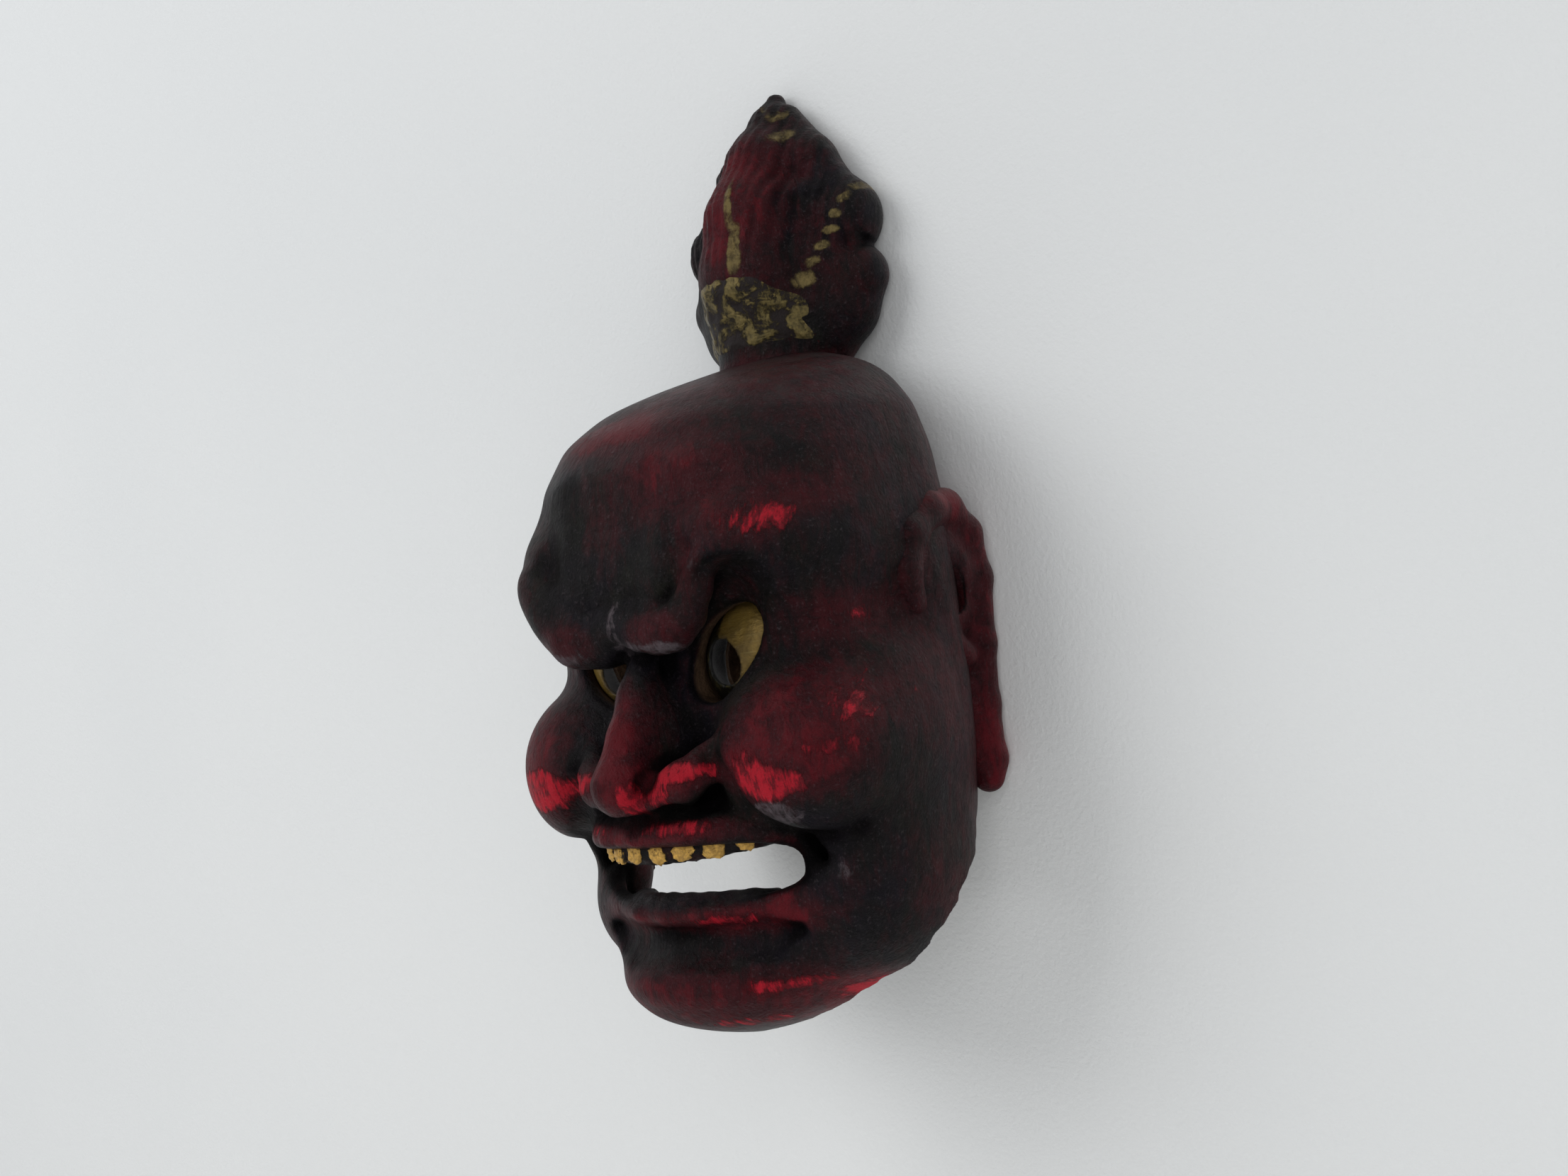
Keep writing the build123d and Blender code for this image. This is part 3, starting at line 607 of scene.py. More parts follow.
MARK_DEPTH = 20  # marks reach at least this far in depth, so that they always meet the surface


def spots(points, marks):
    """Soft paint marks: (centre, radii, strength) in the mask frame, summed and clipped."""
    total = np.zeros(len(points))
    for centre, radii, strength in marks:
        q = (points - np.array(centre, float)) / np.maximum(np.array(radii, float), (0, MARK_DEPTH, 0))
        total += strength * np.exp(-np.sum(q * q, 1) ** 1.5)
    return np.clip(total, 0, 1)


# ---------------------------------------------------------------- build the carved pieces
head_clay, head_solid = sculpt_head()
head, head_points = skin(head_clay, "head_carved")
ear_clay = sculpt_ear()
ear_right, ear_points = skin(ear_clay, "ear_right_carved")
knot_clay, tie_clay = sculpt_topknot()
knot, knot_points = skin(knot_clay, "topknot_carved")
tie, tie_points = skin(tie_clay, "hair_tie_band", smooth=1)
eye_clay, eye_ball = sculpt_eye()
eye_right, eye_points = skin(eye_clay, "eye_right_gilt")
gum_clay = sculpt_gum()
gum, gum_points = skin(gum_clay, "gum_bar", smooth=1)
teeth_clays = [sculpt_teeth(0), sculpt_teeth(1)]
teeth_right, teeth_points = skin(teeth_clays[0], "teeth_right_gilt", smooth=1)
teeth_left, teeth_left_points = skin(teeth_clays[1], "teeth_left_gilt", smooth=1)


def mirror_copy(obj, name):
    """The same piece on the other side of the middle plane."""
    copy = bpy.data.objects.new(name, obj.data.copy())
    flip(copy)
    link(copy)
    return copy


def flip(obj):
    obj.data.transform(Matrix.Scale(-1, 4, Vector((1, 0, 0))))
    obj.data.flip_normals()


# Marks: (centre, radii, strength). On the hidden side they are guessed: the same kind of wear, weaker.
BRIGHT = [
    ((63, 112, 50), (11, 14, 8), 0.46), ((67, 108, 46), (9, 14, 7), 0.46),
    ((-34, 124, 96), (24, 14, 6), 0.66), ((86, 106, -20), (12, 18, 12), 0.6),
    ((84, 108, -36), (15, 18, 4), 0.66), ((64, 126, -47), (15, 12, 6.5), 1.25),
    ((56, 126, -39), (9, 12, 6), 0.7), ((-60, 122, -44), (16, 20, 9), 1.5),
    ((-76, 100, -64), (12, 18, 6), 0.7), ((26, 130, -40), (12, 8, 4), 1.15),
    ((17, 132, -48), (6, 8, 5), 0.8), ((-26, 130, -42), (12, 8, 5), 0.8), ((8, 142, -50), (3.6, 9, 9), 1.0),
    ((85, 88, 9), (8, 14, 5), 0.85), ((18, 128, -61), (18, 16, 3.6), 0.85),
    ((-28, 126, -61), (22, 14, 3.4), 0.55), ((26, 112, -97), (14, 14, 3.0), 0.85),
    ((40, 98, -122), (18, 20, 3.6), 1.0), ((56, 74, -130), (24, 20, 4.0), 1.1),
    ((24, 106, -136), (26, 20, 3), 0.65), ((-40, 98, -122), (20, 16, 5), 0.6),
]
WARM = [
    ((-22, 122, 94), (40, 16, 10), 1.5), ((34, 124, 72), (26, 14, 22), 0.75),
    ((56, 116, 50), (18, 14, 12), 0.7), ((72, 98, 56), (14, 16, 10), 0.5),
    ((20, 100, 104), (34, 24, 8), 0.45), ((-4, 130, 48), (12, 12, 20), 0.4),
    ((25, 136, 13), (15, 9, 8), 0.9), ((-26, 136, 12), (16, 10, 9), 0.7), ((40, 133, 33), (9, 8, 14), 0.7),
    ((0, 134, -26), (10, 14, 20), 1.1), ((6, 142, -46), (12, 12, 10), 1.0),
    ((22, 132, -42), (18, 10, 8), 0.9), ((-22, 132, -42), (18, 10, 8), 0.8),
    ((76, 110, -24), (22, 28, 20), 1.4), ((60, 126, -42), (18, 14, 10), 0.8),
    ((-66, 116, -32), (20, 34, 28), 1.4), ((80, 92, 10), (14, 16, 10), 0.6),
    ((88, 60, -20), (10, 24, 26), 0.45), ((70, 118, -36), (26, 20, 17), 0.85),
    ((48, 98, -78), (7, 14, 16), 0.7), ((0, 132, -62), (48, 18, 5.5), 1.5),
    ((28, 118, -97), (40, 20, 5.5), 1.5), ((47, 98, -82), (8, 12, 16), 1.3),
    ((-30, 116, -97), (30, 20, 5.5), 0.8), ((-46, 98, -82), (6, 12, 14), 0.8),
    ((0, 112, -126), (60, 40, 12), 1.3), ((52, 76, -132), (34, 40, 11), 1.35),
    ((82, 52, -98), (12, 24, 14), 0.4), ((-62, 90, -112), (20, 30, 16), 0.5),
]
# Grey marks: scuffs, together with painted highlights on the lower edges of the brow lobes, the nose tip, the
# bottom of the cheek pouches and the crown.
SCUFFS_AND_HIGHLIGHTS = [
    ((24, 137, 6), (12, 7, 3.2), 1.2), ((-27, 136, 6), (13, 7, 3.4), 1.0),
    ((0, 135, 14), (3.4, 8, 14), 1.35), ((6, 135, 8), (9, 8, 3.5), 0.9), ((33, 134, 20), (4, 6, 6), 0.5),
    ((43, 131, 34), (3, 6, 9), 0.6), ((60, 120, -58), (13, 9, 5.5), 1.5), ((70, 92, -82), (5, 8, 5), 0.8),
    ((-58, 115, -59), (12, 9, 5), 0.7), ((-20, 100, 112), (40, 30, 8), 0.45),
    ((8, 142, -38), (4, 7, 5), 0.4), ((-66, 90, -84), (6, 8, 6), 0.4), ((0, 116, -138), (30, 14, 4), 0.4),
    ((-40, 100, -100), (6, 10, 10), 0.4),
]
KNOT_GOLD = [
    ((9, 52, 160), (3.2, 12, 8), 1.1), ((8, 50, 170), (2.6, 12, 9), 1.1), ((5, 46, 181), (2.4, 12, 9), 1.1),
    ((3, 40, 192), (2.2, 12, 8), 0.9), ((28, 29, 150), (5.0, 16, 4.5), 1.2),
    ((32, 26, 157), (4.2, 16, 2.7), 1.2), ((35, 24, 163), (4.0, 16, 2.5), 1.2),
    ((38, 21, 169), (3.8, 16, 2.4), 1.2), ((41, 19, 175), (3.6, 16, 2.3), 1.1),
    ((44, 16, 181), (3.6, 16, 2.6), 1.1), ((47, 14, 186), (4.0, 16, 3.0), 1.0),
    ((9, 16, 226), (6, 12, 4), 1.0), ((14, 15, 215), (7, 12, 4.5), 1.0), ((2, 14, 231), (4, 8, 3), 0.8),
    ((-24, 30, 152), (5, 16, 5), 0.9), ((-34, 22, 166), (4, 16, 4), 0.8),
]
HEAD_GOLD = [
    ((50, 108, 19), (3.5, 8, 3.5), 0.7), ((21, 112, -13), (6, 7, 3.5), 0.6),
    ((55, 104, 8), (2.5, 6, 7), 0.45),
]
KNOT_WARM = [
    ((0, 44, 188), (24, 22, 40), 1.25), ((14, 36, 150), (30, 20, 12), 0.3),
    ((34, 20, 166), (12, 14, 18), 0.4), ((20, 26, 200), (12, 14, 14), 0.5),
    ((0, 24, 118), (40, 30, 5), 0.6),
]
EAR_WARM = [
    ((82, 52, 26), (12, 14, 26), 0.55), ((80, 30, 52), (14, 22, 10), 1.0),
    ((78, 10, -10), (10, 12, 46), 1.0), ((76, 10, -54), (12, 14, 13), 1.1),
    ((78, 14, 38), (12, 14, 16), 0.6),
]

EYE_GOLD = [
    ((42, 104, 5), (13, 20, 13), 1.25), ((38, 104, 15), (10, 20, 7), 0.8), ((37, 104, -7), (9, 20, 5), 0.5),
]


def slim_left_jaw(obj, points):
    """The left flank of the jaw is carved closer in than the right one."""
    centre, reach = np.array((-66.0, 98.0, -80.0)), np.array((22.0, 30.0, 15.0))
    inwards = np.array((0.74, -0.67, 0.0))
    pull = 5.5 * np.exp(-np.sum(((points - centre) / reach) ** 2, 1))[:, None]
    moved = points + pull * inwards
    obj.data.vertices.foreach_set("co", to_row(moved).astype(np.float32).ravel())
    obj.data.update()


def paint(obj, clay, points, warm=(), bright=(), scuff_and_highlight=(), gold=(), solid=None):
    """Where the wear, the paint, and the painted shade and highlights lie, as values on the points of the
    mesh.
    """
    n = normals(obj)
    attribute(obj, "sunk", sunk(clay, points, n))
    attribute(obj, "raised", raised(clay, points, n))
    for name, marks in (("warm", warm), ("bright", bright), ("scuff_and_highlight", scuff_and_highlight), ("gold", gold)):
        attribute(obj, name, spots(points, marks))
    if solid is not None:
        under = solid.sample(np.abs(points) * [1, 0, 0] + points * [0, 1, 1])
        rim = mouth_hole(np.abs(points[:, 0]), points[:, 1], points[:, 2])
        off_lips = np.where(points[:, 1] > 40, np.clip((rim - 10) / 6, 0, 1), 1)
        attribute(obj, "bare", np.clip((-under - 2.5) / 1.5, 0, 1) * off_lips)


for piece in (head, ear_right, knot, tie, eye_right, gum, teeth_right, teeth_left):
    outward(piece)
paint(head, head_clay, head_points, WARM, BRIGHT, SCUFFS_AND_HIGHLIGHTS, HEAD_GOLD, head_solid)
slim_left_jaw(head, head_points)
paint(ear_right, ear_clay, ear_points, EAR_WARM)
paint(knot, knot_clay, knot_points, KNOT_WARM, gold=KNOT_GOLD)
paint(tie, tie_clay, tie_points)
paint(eye_right, eye_clay, eye_points, gold=EYE_GOLD)
attribute(eye_right, "bare", np.clip((-eye_ball.sample(eye_points) - 0.45) / 0.5, 0, 1))
paint(gum, gum_clay, gum_points)
paint(teeth_right, teeth_clays[0], teeth_points)
paint(teeth_left, teeth_clays[1], teeth_left_points)
flip(teeth_left)
ear_left = mirror_copy(ear_right, "ear_left_carved")
eye_left = mirror_copy(eye_right, "eye_left_gilt")


# ---------------------------------------------------------------- materials
COAT_ROUGHNESS = 0.35


class Shader:
    """A node material built in lines."""

    def __init__(self, name):
        self.material = bpy.data.materials.new(name)
        self.material.use_nodes = True
        self.tree = self.material.node_tree
        self.bsdf = self.tree.nodes["Principled BSDF"]
        self.where = self.new("TexCoord").outputs["Object"]

    def new(self, kind):
        return self.tree.nodes.new("ShaderNode" + kind)

    def put(self, socket, value):
        if isinstance(value, bpy.types.NodeSocket):
            self.tree.links.new(value, socket)
        elif isinstance(value, tuple) and len(value) == 3 and socket.type == "RGBA":
            socket.default_value = (*value, 1)
        else:
            socket.default_value = value

    def node(self, kind, **inputs):
        node = self.new(kind)
        for name, value in inputs.items():
            self.put(node.inputs[name.replace("_", " ")], value)
        return node

    def noise(self, scale, detail=4.0, rough=0.55, distort=0.0, stretch=None, turn=(0, 0, 0)):
        """Noise between 0 and 1, its scale in features a metre; stretch squeezes it along each axis."""
        vector = self.where
        if stretch is not None:
            mapping = self.node("Mapping", Vector=self.where, Scale=stretch, Rotation=turn)
            vector = mapping.outputs[0]
        node = self.node("TexNoise", Vector=vector, Scale=scale, Detail=detail, Roughness=rough,
                         Distortion=distort)
        return node.outputs["Fac"]

    def cells(self, scale):
        """Rounded cells, like the marks of a gouge."""
        node = self.node("TexVoronoi", Vector=self.where, Scale=scale)
        node.feature = "SMOOTH_F1"
        return node.outputs["Distance"]

    def value(self, name):
        node = self.new("Attribute")
        node.attribute_name = name
        return node.outputs["Fac"]

    def math(self, operation, a, b=0.0):
        node = self.new("Math")
        node.operation = operation
        self.put(node.inputs[0], a)
        self.put(node.inputs[1], b)
        return node.outputs[0]

    def add(self, a, b):
        return self.math("ADD", a, b)

    def times(self, a, b):
        return self.math("MULTIPLY", a, b)

    def around(self, noise, gain):
        """Noise moved to lie around 0, times a gain."""
        return self.times(self.add(noise, -0.5), gain)

    def ramp(self, value, low, high, start=0.0, end=1.0):
        """A smooth step from start to end as value goes from low to high."""
        node = self.new("MapRange")
        node.interpolation_type = "SMOOTHSTEP"
        self.put(node.inputs["Value"], value)
        for name, number in (("From Min", low), ("From Max", high), ("To Min", start), ("To Max", end)):
            node.inputs[name].default_value = number
        return node.outputs["Result"]

    def mix(self, factor, a, b, kind="RGBA", first=6, out=2):
        """Colours a and b mixed; first and out are the sockets that the kind uses."""
        node = self.new("Mix")
        node.data_type = kind
        for socket, value in (("Factor", factor), (first, a), (first + 1, b)):
            self.put(node.inputs[socket], value)
        return node.outputs[out]

    def blend(self, factor, a, b):
        """Numbers a and b mixed."""
        return self.mix(factor, a, b, "FLOAT", 2, 0)

    def bumps(self, *layers):
        """Layers of (height, distance in metres), one on another."""
        normal = None
        for height, distance in layers:
            node = self.node("Bump", Height=height, Distance=distance, Strength=1.0)
            if normal is not None:
                self.tree.links.new(normal, node.inputs["Normal"])
            normal = node.outputs[0]
        self.put(self.bsdf.inputs["Normal"], normal)

    def finish(self, colour, rough, metallic=0.0, coat=0.0, specular=0.5):
        self.put(self.bsdf.inputs["Base Color"], colour)
        self.put(self.bsdf.inputs["Roughness"], rough)
        self.put(self.bsdf.inputs["Metallic"], metallic)
        self.put(self.bsdf.inputs["Coat Weight"], coat)
        self.put(self.bsdf.inputs["Coat Roughness"], COAT_ROUGHNESS)
        self.put(self.bsdf.inputs["Specular IOR Level"], specular)
        return self.material


# Colours of the lacquers, the grime, the soot that also serves as painted shade in the hollows, and the leaf.
BLACK, SOOT_AND_SHADE, MAROON = (0.0052, 0.0040, 0.0042), (0.0020, 0.0016, 0.0018), (0.040, 0.0042, 0.0065)
RED, DEEP_RED, GREY = (0.40, 0.010, 0.022), (0.12, 0.0055, 0.0105), (0.13, 0.105, 0.115)
GILT, OLD_GILT = (0.20, 0.150, 0.058), (0.075, 0.056, 0.024)


def lacquer(name):
    """Worn black and red lacquer over wood: soot with painted shade in the hollows, rubbed red, matt grey
    scuffs with painted highlights, grime with a painted sheen on upward faces, gilt touches.
    """
    m = Shader(name)
    broad = m.noise(16, 5, 0.6, 0.4)
    patches = m.noise(46, 8, 0.62, 0.8)
    flecks = m.noise(210, 6, 0.7, 0.4)
    grit = m.noise(900, 3, 0.6)
    strokes = m.noise(70, 7, 0.7, 0.9, stretch=(2.6, 2.6, 0.9), turn=(0.3, 0.5, 0.2))
    slanted = m.noise(80, 6, 0.75, 0.3, stretch=(4.5, 1.0, 1.0), turn=(0.2, 0.6, 0.9))
    sunk, raised = m.value("sunk"), m.value("raised")
    breakup = m.add(m.around(patches, 1.1), m.around(flecks, 0.55))

    warmth = m.add(m.add(m.times(m.value("warm"), 0.95), m.times(raised, 0.30)), m.around(broad, 1.5))
    warmth = m.add(m.add(warmth, m.around(strokes, 1.5)), m.add(m.times(sunk, -0.75), 0.07))
    tint = m.noise(21, 4, 0.6, 0.5, stretch=(1.0, 1.3, 0.8), turn=(1.0, 0.4, 0.7))
    black = m.mix(m.ramp(tint, 0.40, 0.60), (0.0078, 0.0074, 0.0048), (0.0066, 0.0050, 0.0086))
    base = m.mix(m.ramp(warmth, -0.12, 0.72), m.mix(m.ramp(patches, 0.35, 0.65), BLACK, black), MAROON)
    base = m.mix(m.ramp(flecks, 0.42, 0.66, 0.0, 0.60), base, SOOT_AND_SHADE)
    base = m.mix(m.ramp(grit, 0.55, 0.75, 0.0, 0.22), base, GREY)
    base = m.mix(m.ramp(m.add(warmth, m.times(breakup, 0.9)), 0.72, 1.30, 0.0, 0.75), base, DEEP_RED)
    brush = m.add(m.around(slanted, 2.2), m.times(breakup, 1.2))
    bright = m.ramp(m.add(m.value("bright"), m.times(brush, 0.85)), 0.40, 0.62)
    vivid = m.ramp(m.add(m.value("bright"), m.times(brush, 1.2)), 0.62, 1.00)
    base = m.mix(bright, base, m.mix(vivid, DEEP_RED, RED))
    gold = m.ramp(m.add(m.value("gold"), m.times(breakup, 1.5)), 0.50, 0.95, 0.0, 0.9)
    base = m.mix(gold, base, m.mix(m.ramp(flecks, 0.4, 0.6), OLD_GILT, GILT))
    # grey scuffs and painted highlights: marked places and ridges lightened towards grey
    dry_scuff_and_highlight = m.add(m.times(m.value("scuff_and_highlight"), 1.0), m.times(raised, 0.20))
    dry_scuff_and_highlight = m.ramp(m.add(dry_scuff_and_highlight, m.add(m.times(brush, 0.8), m.around(flecks, 1.2))), 0.62, 1.30, 0.0, 0.75)
    base = m.mix(dry_scuff_and_highlight, base, GREY)
    # grime and painted sheen: faces that look upward lightened towards grey, partly settled grime, partly the
    # sheen of light from above painted in
    up = m.new("SeparateXYZ")
    m.tree.links.new(m.new("NewGeometry").outputs["Normal"], up.inputs[0])
    dust_and_sheen = m.times(m.ramp(up.outputs["Z"], 0.30, 1.0),
                   m.ramp(m.add(patches, m.around(flecks, 0.7)), 0.35, 0.75))
    base = m.mix(m.times(dust_and_sheen, 0.42), base, (0.050, 0.043, 0.040))
    # painted shade, with some soot: crevices and the undersides of overhangs darkened towards near-black
    base = m.mix(m.ramp(m.add(sunk, m.times(breakup, 0.25)), 0.35, 1.0, 0.0, 0.8), base, SOOT_AND_SHADE)

    fibre = m.noise(30, 8, 0.65, 1.2, stretch=(9.0, 9.0, 0.9))
    wood = m.mix(m.ramp(fibre, 0.3, 0.7), (0.045, 0.026, 0.016), (0.105, 0.062, 0.036))
    wood = m.mix(m.ramp(patches, 0.45, 0.75, 0.0, 0.6), wood, (0.020, 0.012, 0.009))
    bare = m.value("bare")
    colour = m.mix(bare, base, wood)
    rough = m.add(m.add(0.40, m.around(patches, 0.30)), m.around(flecks, 0.30))
    rough = m.blend(bright, rough, m.add(rough, 0.10))
    rough = m.blend(m.math("MAXIMUM", dry_scuff_and_highlight, m.times(sunk, 0.7)), rough, 0.78)
    rough = m.blend(bare, m.blend(gold, rough, 0.38), m.ramp(fibre, 0.2, 0.8, 0.62, 0.88))
    gouges = m.cells(70)
    m.bumps((m.times(gouges, m.blend(bare, 0.12, 1.0)), 0.006), (strokes, 0.0016), (flecks, 0.0014),
            (grit, 0.0005),
            (m.math("MAXIMUM", bright, gold), 0.0003))
    shine = m.blend(m.math("MAXIMUM", bare, m.ramp(sunk, 0.2, 0.8)), 0.10, 0.03)
    return m.finish(colour, rough, m.times(gold, m.math("SUBTRACT", 0.35, m.times(bare, 0.35))), 0.0, shine)


def mottled_gilt(name, light, dark, cover, scale=90, ground=BLACK):
    """Rubbed gold leaf over dark lacquer; cover is how much gold is left."""
    m = Shader(name)
    patches, flecks = m.noise(scale, 8, 0.65, 0.9), m.noise(scale * 4.5, 6, 0.7, 0.3)
    grit = m.noise(1200, 3, 0.6)
    sunk, raised = m.value("sunk"), m.value("raised")
    left = m.add(m.add(m.times(patches, 1.5), m.times(flecks, 0.5)),
                 m.add(m.times(raised, 0.35), m.times(sunk, -0.55)))
    left = m.ramp(left, 1.31 - cover * 0.5, 1.47 - cover * 0.5)
    gold = m.mix(m.ramp(flecks, 0.35, 0.68), dark, light)
    colour = m.mix(left, ground, gold)
    # painted shade: hollows, such as the gaps between the teeth and the folds of the tie, darkened towards
    # near-black
    colour = m.mix(m.ramp(sunk, 0.35, 1.0, 0.0, 0.7), colour, SOOT_AND_SHADE)
    rough = m.blend(left, 0.6, m.ramp(flecks, 0.3, 0.7, 0.30, 0.52))
    m.bumps((patches, 0.0014), (flecks, 0.0006), (left, 0.00035), (grit, 0.00015))
    return m.finish(colour, rough, m.times(left, 0.45), 0.0, 0.25)


def eye_gilt(name):
    """Gilt eye shells: brighter in the middle and darker towards the lids; browned in patches, with painted
    shade darkening the sunk places at the pupil's edge.
    """
    m = Shader(name)
    patches, flecks = m.noise(60, 7, 0.6, 0.8), m.noise(380, 5, 0.7, 0.3)
    streaks = m.noise(150, 5, 0.6, 0.2, stretch=(1.0, 1.0, 4.0), turn=(0.0, 0.7, 0.0))
    sunk = m.value("sunk")
    # rubbed patches browning the gold, together with painted shade where the shell is sunk
    wear_and_shade = m.add(m.add(m.times(patches, 0.9), m.times(flecks, 0.35)), m.times(sunk, 0.55))
    colour = m.mix(m.ramp(wear_and_shade, 0.45, 1.0), (0.27, 0.172, 0.038), (0.080, 0.052, 0.018))
    colour = m.mix(m.ramp(streaks, 0.55, 0.8, 0.0, 0.5), colour, (0.33, 0.25, 0.085))
    # painted shade: the most sunk places, at the pupil's edge, darkened to near-black
    colour = m.mix(m.ramp(m.add(sunk, m.times(flecks, 0.3)), 0.55, 1.0, 0.0, 0.85), colour,
                   (0.012, 0.009, 0.007))
    left = m.ramp(m.add(m.value("gold"), m.times(m.add(m.add(patches, flecks), -1.0), 0.9)), 0.25, 0.75)
    colour = m.mix(left,
                   m.mix(m.ramp(flecks, 0.52, 0.64, 0.0, 0.7), (0.008, 0.007, 0.004), (0.09, 0.075, 0.022)),
                   colour)
    colour = m.mix(m.value("bare"), colour, (0.006, 0.0055, 0.007))
    m.bumps((patches, 0.0010), (streaks, 0.0005), (flecks, 0.0003))
    metal = m.math("SUBTRACT", 0.5, m.times(m.value("bare"), 0.5))
    return m.finish(colour, m.ramp(wear_and_shade, 0.4, 1.1, 0.30, 0.52), metal, 0.1, 0.3)


def plain_wood(name, light, dark):
    m = Shader(name)
    grain = m.noise(18, 8, 0.6, 1.6, stretch=(0.8, 9.0, 9.0))
    pores = m.noise(300, 4, 0.7, 0.0, stretch=(0.15, 1.0, 1.0))
    stain = m.noise(22, 5, 0.6, 0.5)
    colour = m.mix(m.ramp(grain, 0.35, 0.66), dark, light)
    colour = m.mix(m.ramp(pores, 0.52, 0.70, 0.0, 0.55), colour, tuple(c * 0.45 for c in dark))
    colour = m.mix(m.ramp(stain, 0.5, 0.75, 0.0, 0.45), colour, tuple(c * 0.5 for c in dark))
    m.bumps((grain, 0.0008), (pores, 0.0004))
    return m.finish(colour, m.ramp(pores, 0.3, 0.7, 0.55, 0.82))


def old_brass(name):
    m = Shader(name)
    tarnish, spots_, grit = m.noise(120, 7, 0.62, 0.6), m.noise(700, 4, 0.6), m.noise(2600, 2, 0.5)
    scratch = m.noise(400, 3, 0.5, 0.0, stretch=(6.0, 6.0, 0.5), turn=(0.0, 0.6, 0.0))
    colour = m.mix(m.ramp(tarnish, 0.38, 0.66), (0.60, 0.40, 0.15), (0.20, 0.125, 0.055))
    colour = m.mix(m.ramp(spots_, 0.56, 0.70, 0.0, 0.8), colour, (0.055, 0.038, 0.024))
    m.bumps((scratch, 0.00012), (grit, 0.00008))
    rough = m.add(m.ramp(tarnish, 0.3, 0.7, 0.26, 0.50), m.around(scratch, 0.15))
    return m.finish(colour, rough, 0.95)


def dark_gum(name):
    m = Shader(name)
    patches, flecks = m.noise(90, 7, 0.65, 0.5), m.noise(500, 5, 0.7)
    colour = m.mix(m.ramp(patches, 0.4, 0.7), (0.004, 0.0035, 0.0035), (0.022, 0.006, 0.006))
    colour = m.mix(m.ramp(flecks, 0.64, 0.76, 0.0, 0.7), colour, OLD_GILT)
    m.bumps((patches, 0.0012), (flecks, 0.0004))
    return m.finish(colour, m.ramp(flecks, 0.3, 0.7, 0.45, 0.75), specular=0.12)


lacquer_mat = lacquer("worn_lacquer")
tie_mat = mottled_gilt("mottled_gilt_band", (0.20, 0.150, 0.052), (0.075, 0.058, 0.022), 0.13, 85,
                       (0.012, 0.0065, 0.006))
teeth_mat = mottled_gilt("gilt_teeth", (0.74, 0.44, 0.10), (0.38, 0.22, 0.06), 0.80, 130,
                         (0.02, 0.012, 0.008))
eye_mat = eye_gilt("gilt_eyes")
wood_mat = plain_wood("bare_wood", (0.30, 0.185, 0.095), (0.15, 0.085, 0.042))
brass_mat = old_brass("old_brass")
gum_mat = dark_gum("dark_gum")

PIECES = (  # piece, its material, its slot in the record, the CAD nodes it stands for
    (head, lacquer_mat, "lacquered_wood", ("face_shell",)),
    (ear_right, lacquer_mat, "lacquered_wood", ("ear_right",)),
    (ear_left, lacquer_mat, "lacquered_wood", ("ear_left", "ear_pegs")),
    (knot, lacquer_mat, "lacquered_wood", ("topknot",)),
    (tie, tie_mat, "gilt_lacquer", ("hair_tie",)),
    (gum, gum_mat, "dark_gum", ("tooth_bar", "tooth_bar_pins")),
    (eye_right, eye_mat, "gilt_brass", ("eye_plate_right",)),
    (eye_left, eye_mat, "gilt_brass", ("eye_plate_left", "eye_pins")),
    (teeth_right, teeth_mat, "gilt_teeth", ("upper_teeth",)),
    (teeth_left, teeth_mat, "gilt_teeth", ("upper_teeth",)),
)
for piece, material, slot, nodes in PIECES:
    piece.data.materials.append(material)
    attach(piece, "mask")
    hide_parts(*nodes)

CAD_FINISH = {
    "tooth_bar": gum_mat, "tooth_bar_pins": wood_mat, "topknot_dowels": wood_mat, "ear_pegs": wood_mat,
    "eye_pins": brass_mat, "hanger_batten": wood_mat, "hanger_plate": brass_mat, "hanger_screws": brass_mat,
    "hanging_eye": brass_mat,
}
for name, material in CAD_FINISH.items():
    for slot in frame["nodes"][name].material_slots:
        slot.material = material

# ---------------------------------------------------------------- camera
CAMERA_AT = (518.4, -598.2, -5.6)  # mm from the wall plane and the line of the pupils
CAMERA_RIGHT, CAMERA_UP = (0.7266, 0.6769, -0.1181), (0.1148, 0.0499, 0.9921)
SENSOR_MM, LENS_IN_SENSORS = 36, 2600 / 2212

cam_data = bpy.data.cameras.new("camera")
cam = bpy.data.objects.new("camera", cam_data)
link(cam)
right, up = Vector(CAMERA_RIGHT), Vector(CAMERA_UP)
back = right.cross(up).normalized()
up = back.cross(right).normalized()
right.normalize()
location = Vector((CAMERA_AT[0], CAMERA_AT[1] + WALL_Y, CAMERA_AT[2] + PUPIL_Z)) / 1000
cam.matrix_world = Matrix.Translation(location) @ Matrix((right, up, back)).transposed().to_4x4()
cam_data.sensor_width = SENSOR_MM
cam_data.lens = LENS_IN_SENSORS * SENSOR_MM
cam_data.clip_start = 0.01
bpy.context.scene.camera = cam
bpy.context.scene.view_settings.view_transform = "Standard"

# ---------------------------------------------------------------- light, wall and floor
SKY_COLOUR, SKY_STRENGTH = (0.94, 0.96, 1.0, 1), 0.38
BACKDROP_COLOUR = (0.66, 0.665, 0.66, 1)  # what the camera sees past the wall and the floor
WHITE = (1, 1, 1)
LIGHTS = (  # name, place and aim in metres, size in metres, power in watts, colour
    ("window", (-1.3, -1.9, 1.2), (0.1, 0, 0), 1.9, 33, (0.975, 0.985, 1.0)),
    ("fill", (1.5, -1.7, 0.3), (0, 0, 0), 1.8, 13, WHITE),
    ("behind", (0.6, 1.6, 0.7), (0, 0, 0), 1.5, 20, WHITE),
    ("floor_wash", (0.0, 3.2, 2.2), (0, 2.4, -1.1), 3.0, 90, WHITE),
)
STAGE_HALF_WIDTH, WALL_TOP, FLOOR_Z = 5, 4, -1.1

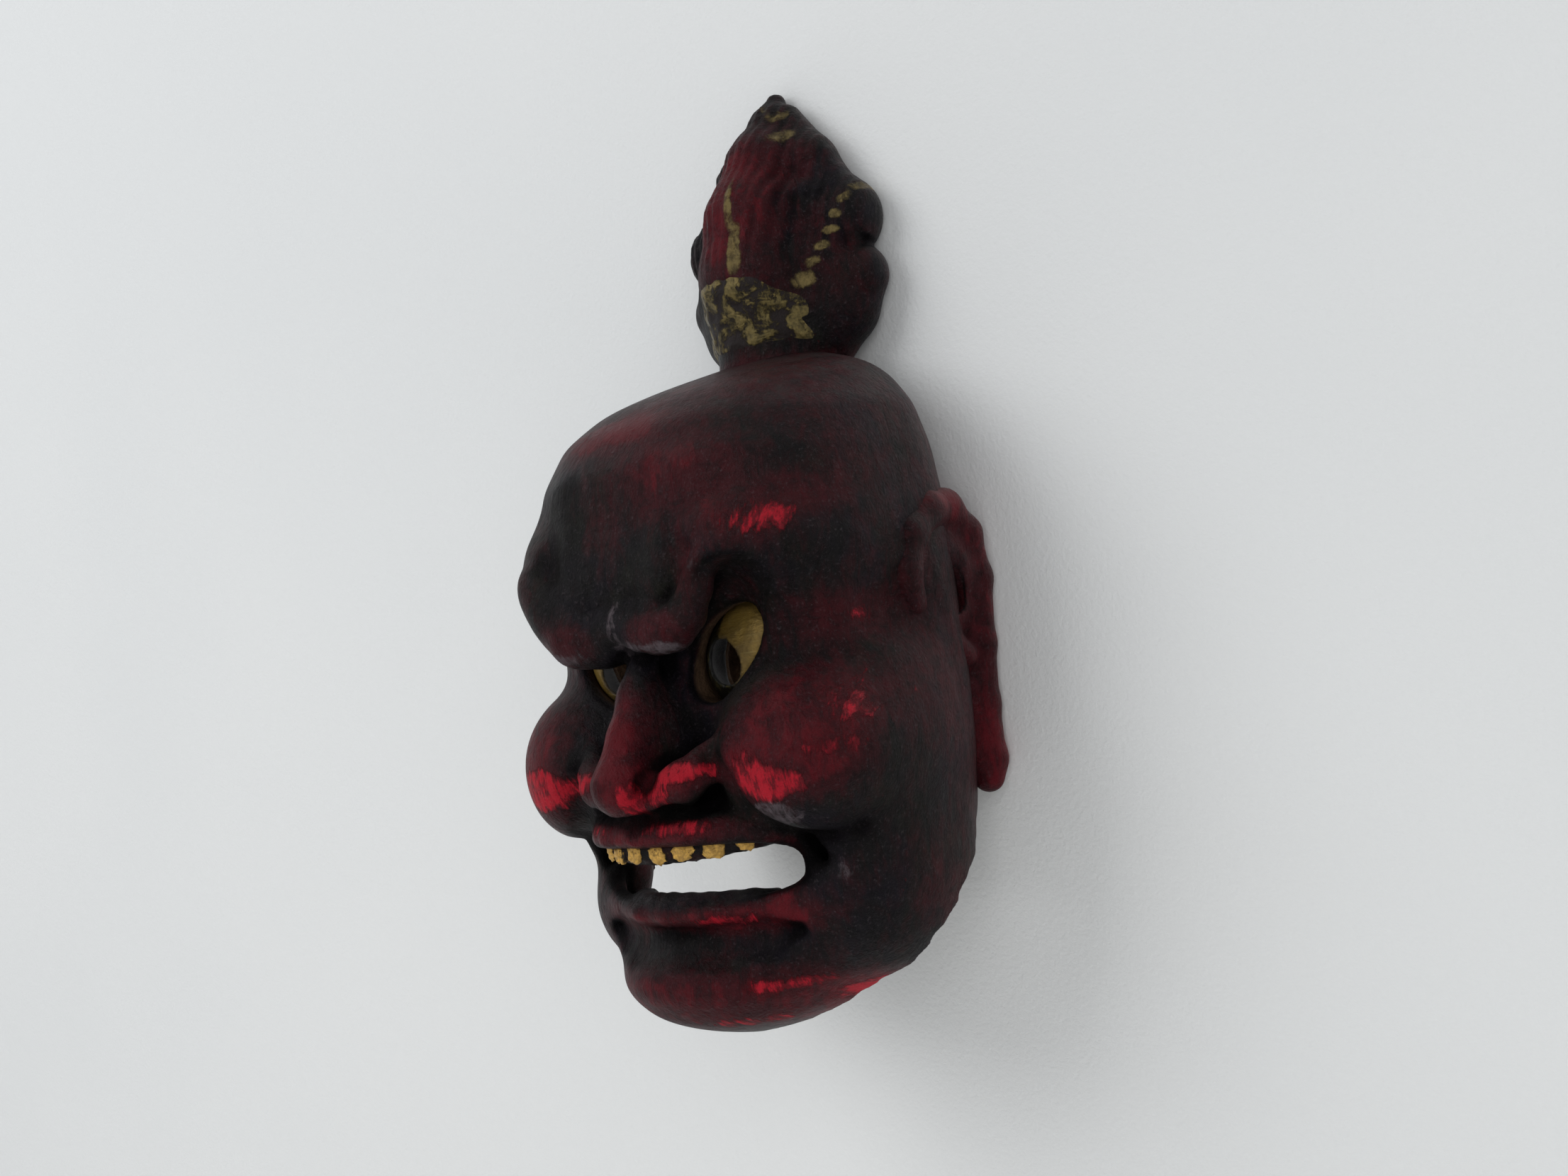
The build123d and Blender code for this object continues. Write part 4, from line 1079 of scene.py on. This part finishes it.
world = bpy.data.worlds.new("world")
bpy.context.scene.world = world
world.use_nodes = True
nodes = world.node_tree.nodes
sky = nodes["Background"]
sky.inputs["Color"].default_value = SKY_COLOUR
sky.inputs["Strength"].default_value = SKY_STRENGTH
seen = nodes.new("ShaderNodeBackground")
seen.inputs["Color"].default_value = BACKDROP_COLOUR
choose = nodes.new("ShaderNodeMixShader")
for out, into in (
    (nodes.new("ShaderNodeLightPath").outputs["Is Camera Ray"], choose.inputs[0]),
    (sky.outputs[0], choose.inputs[1]),
    (seen.outputs[0], choose.inputs[2]),
    (choose.outputs[0], nodes["World Output"].inputs["Surface"]),
):
    world.node_tree.links.new(out, into)


def area_light(name, place, aim, size, power, colour):
    data = bpy.data.lights.new(name, "AREA")
    data.size, data.energy, data.color = size, power, colour
    light = bpy.data.objects.new(name, data)
    light.location = place
    light.rotation_euler = (Vector(aim) - Vector(place)).to_track_quat("-Z", "Y").to_euler()
    link(light)


for light in LIGHTS:
    area_light(*light)


def wall_paint(name, see_through):
    """Matt pale paint; see_through lets the back of the wall, and the light behind it, pass."""
    m = Shader(name)
    soft, fine = m.noise(1.3, 3, 0.5), m.noise(420, 4, 0.6)
    m.bumps((fine, 0.0004))
    m.finish(m.mix(m.ramp(soft, 0.35, 0.65), (0.745, 0.755, 0.75), (0.785, 0.79, 0.78)), 0.85, 0.0, 0.0, 0.2)
    if see_through:
        clear = m.new("BsdfTransparent")
        mixer = m.new("MixShader")
        facing = m.math("MAXIMUM", m.new("NewGeometry").outputs["Backfacing"],
                        m.new("LightPath").outputs["Is Shadow Ray"])
        m.tree.links.new(facing, mixer.inputs[0])
        m.tree.links.new(m.bsdf.outputs[0], mixer.inputs[1])
        m.tree.links.new(clear.outputs[0], mixer.inputs[2])
        m.tree.links.new(mixer.outputs[0], m.tree.nodes["Material Output"].inputs["Surface"])
    return m.material


def stage_sheet(name, corners, material):
    mesh = bpy.data.meshes.new(name)
    mesh.from_pydata(corners, [], [(0, 1, 2, 3)])
    mesh.materials.append(material)
    obj = bpy.data.objects.new(name, mesh)
    link(obj)


w, y, low = STAGE_HALF_WIDTH, WALL_Y / 1000, FLOOR_Z
stage_sheet("wall", [(-w, y, low), (w, y, low), (w, y, WALL_TOP), (-w, y, WALL_TOP)],
            wall_paint("wall_paint", True))
stage_sheet("floor", [(-w, -w, low), (w, -w, low), (w, w, low), (-w, w, low)],
            wall_paint("floor_paint", False))
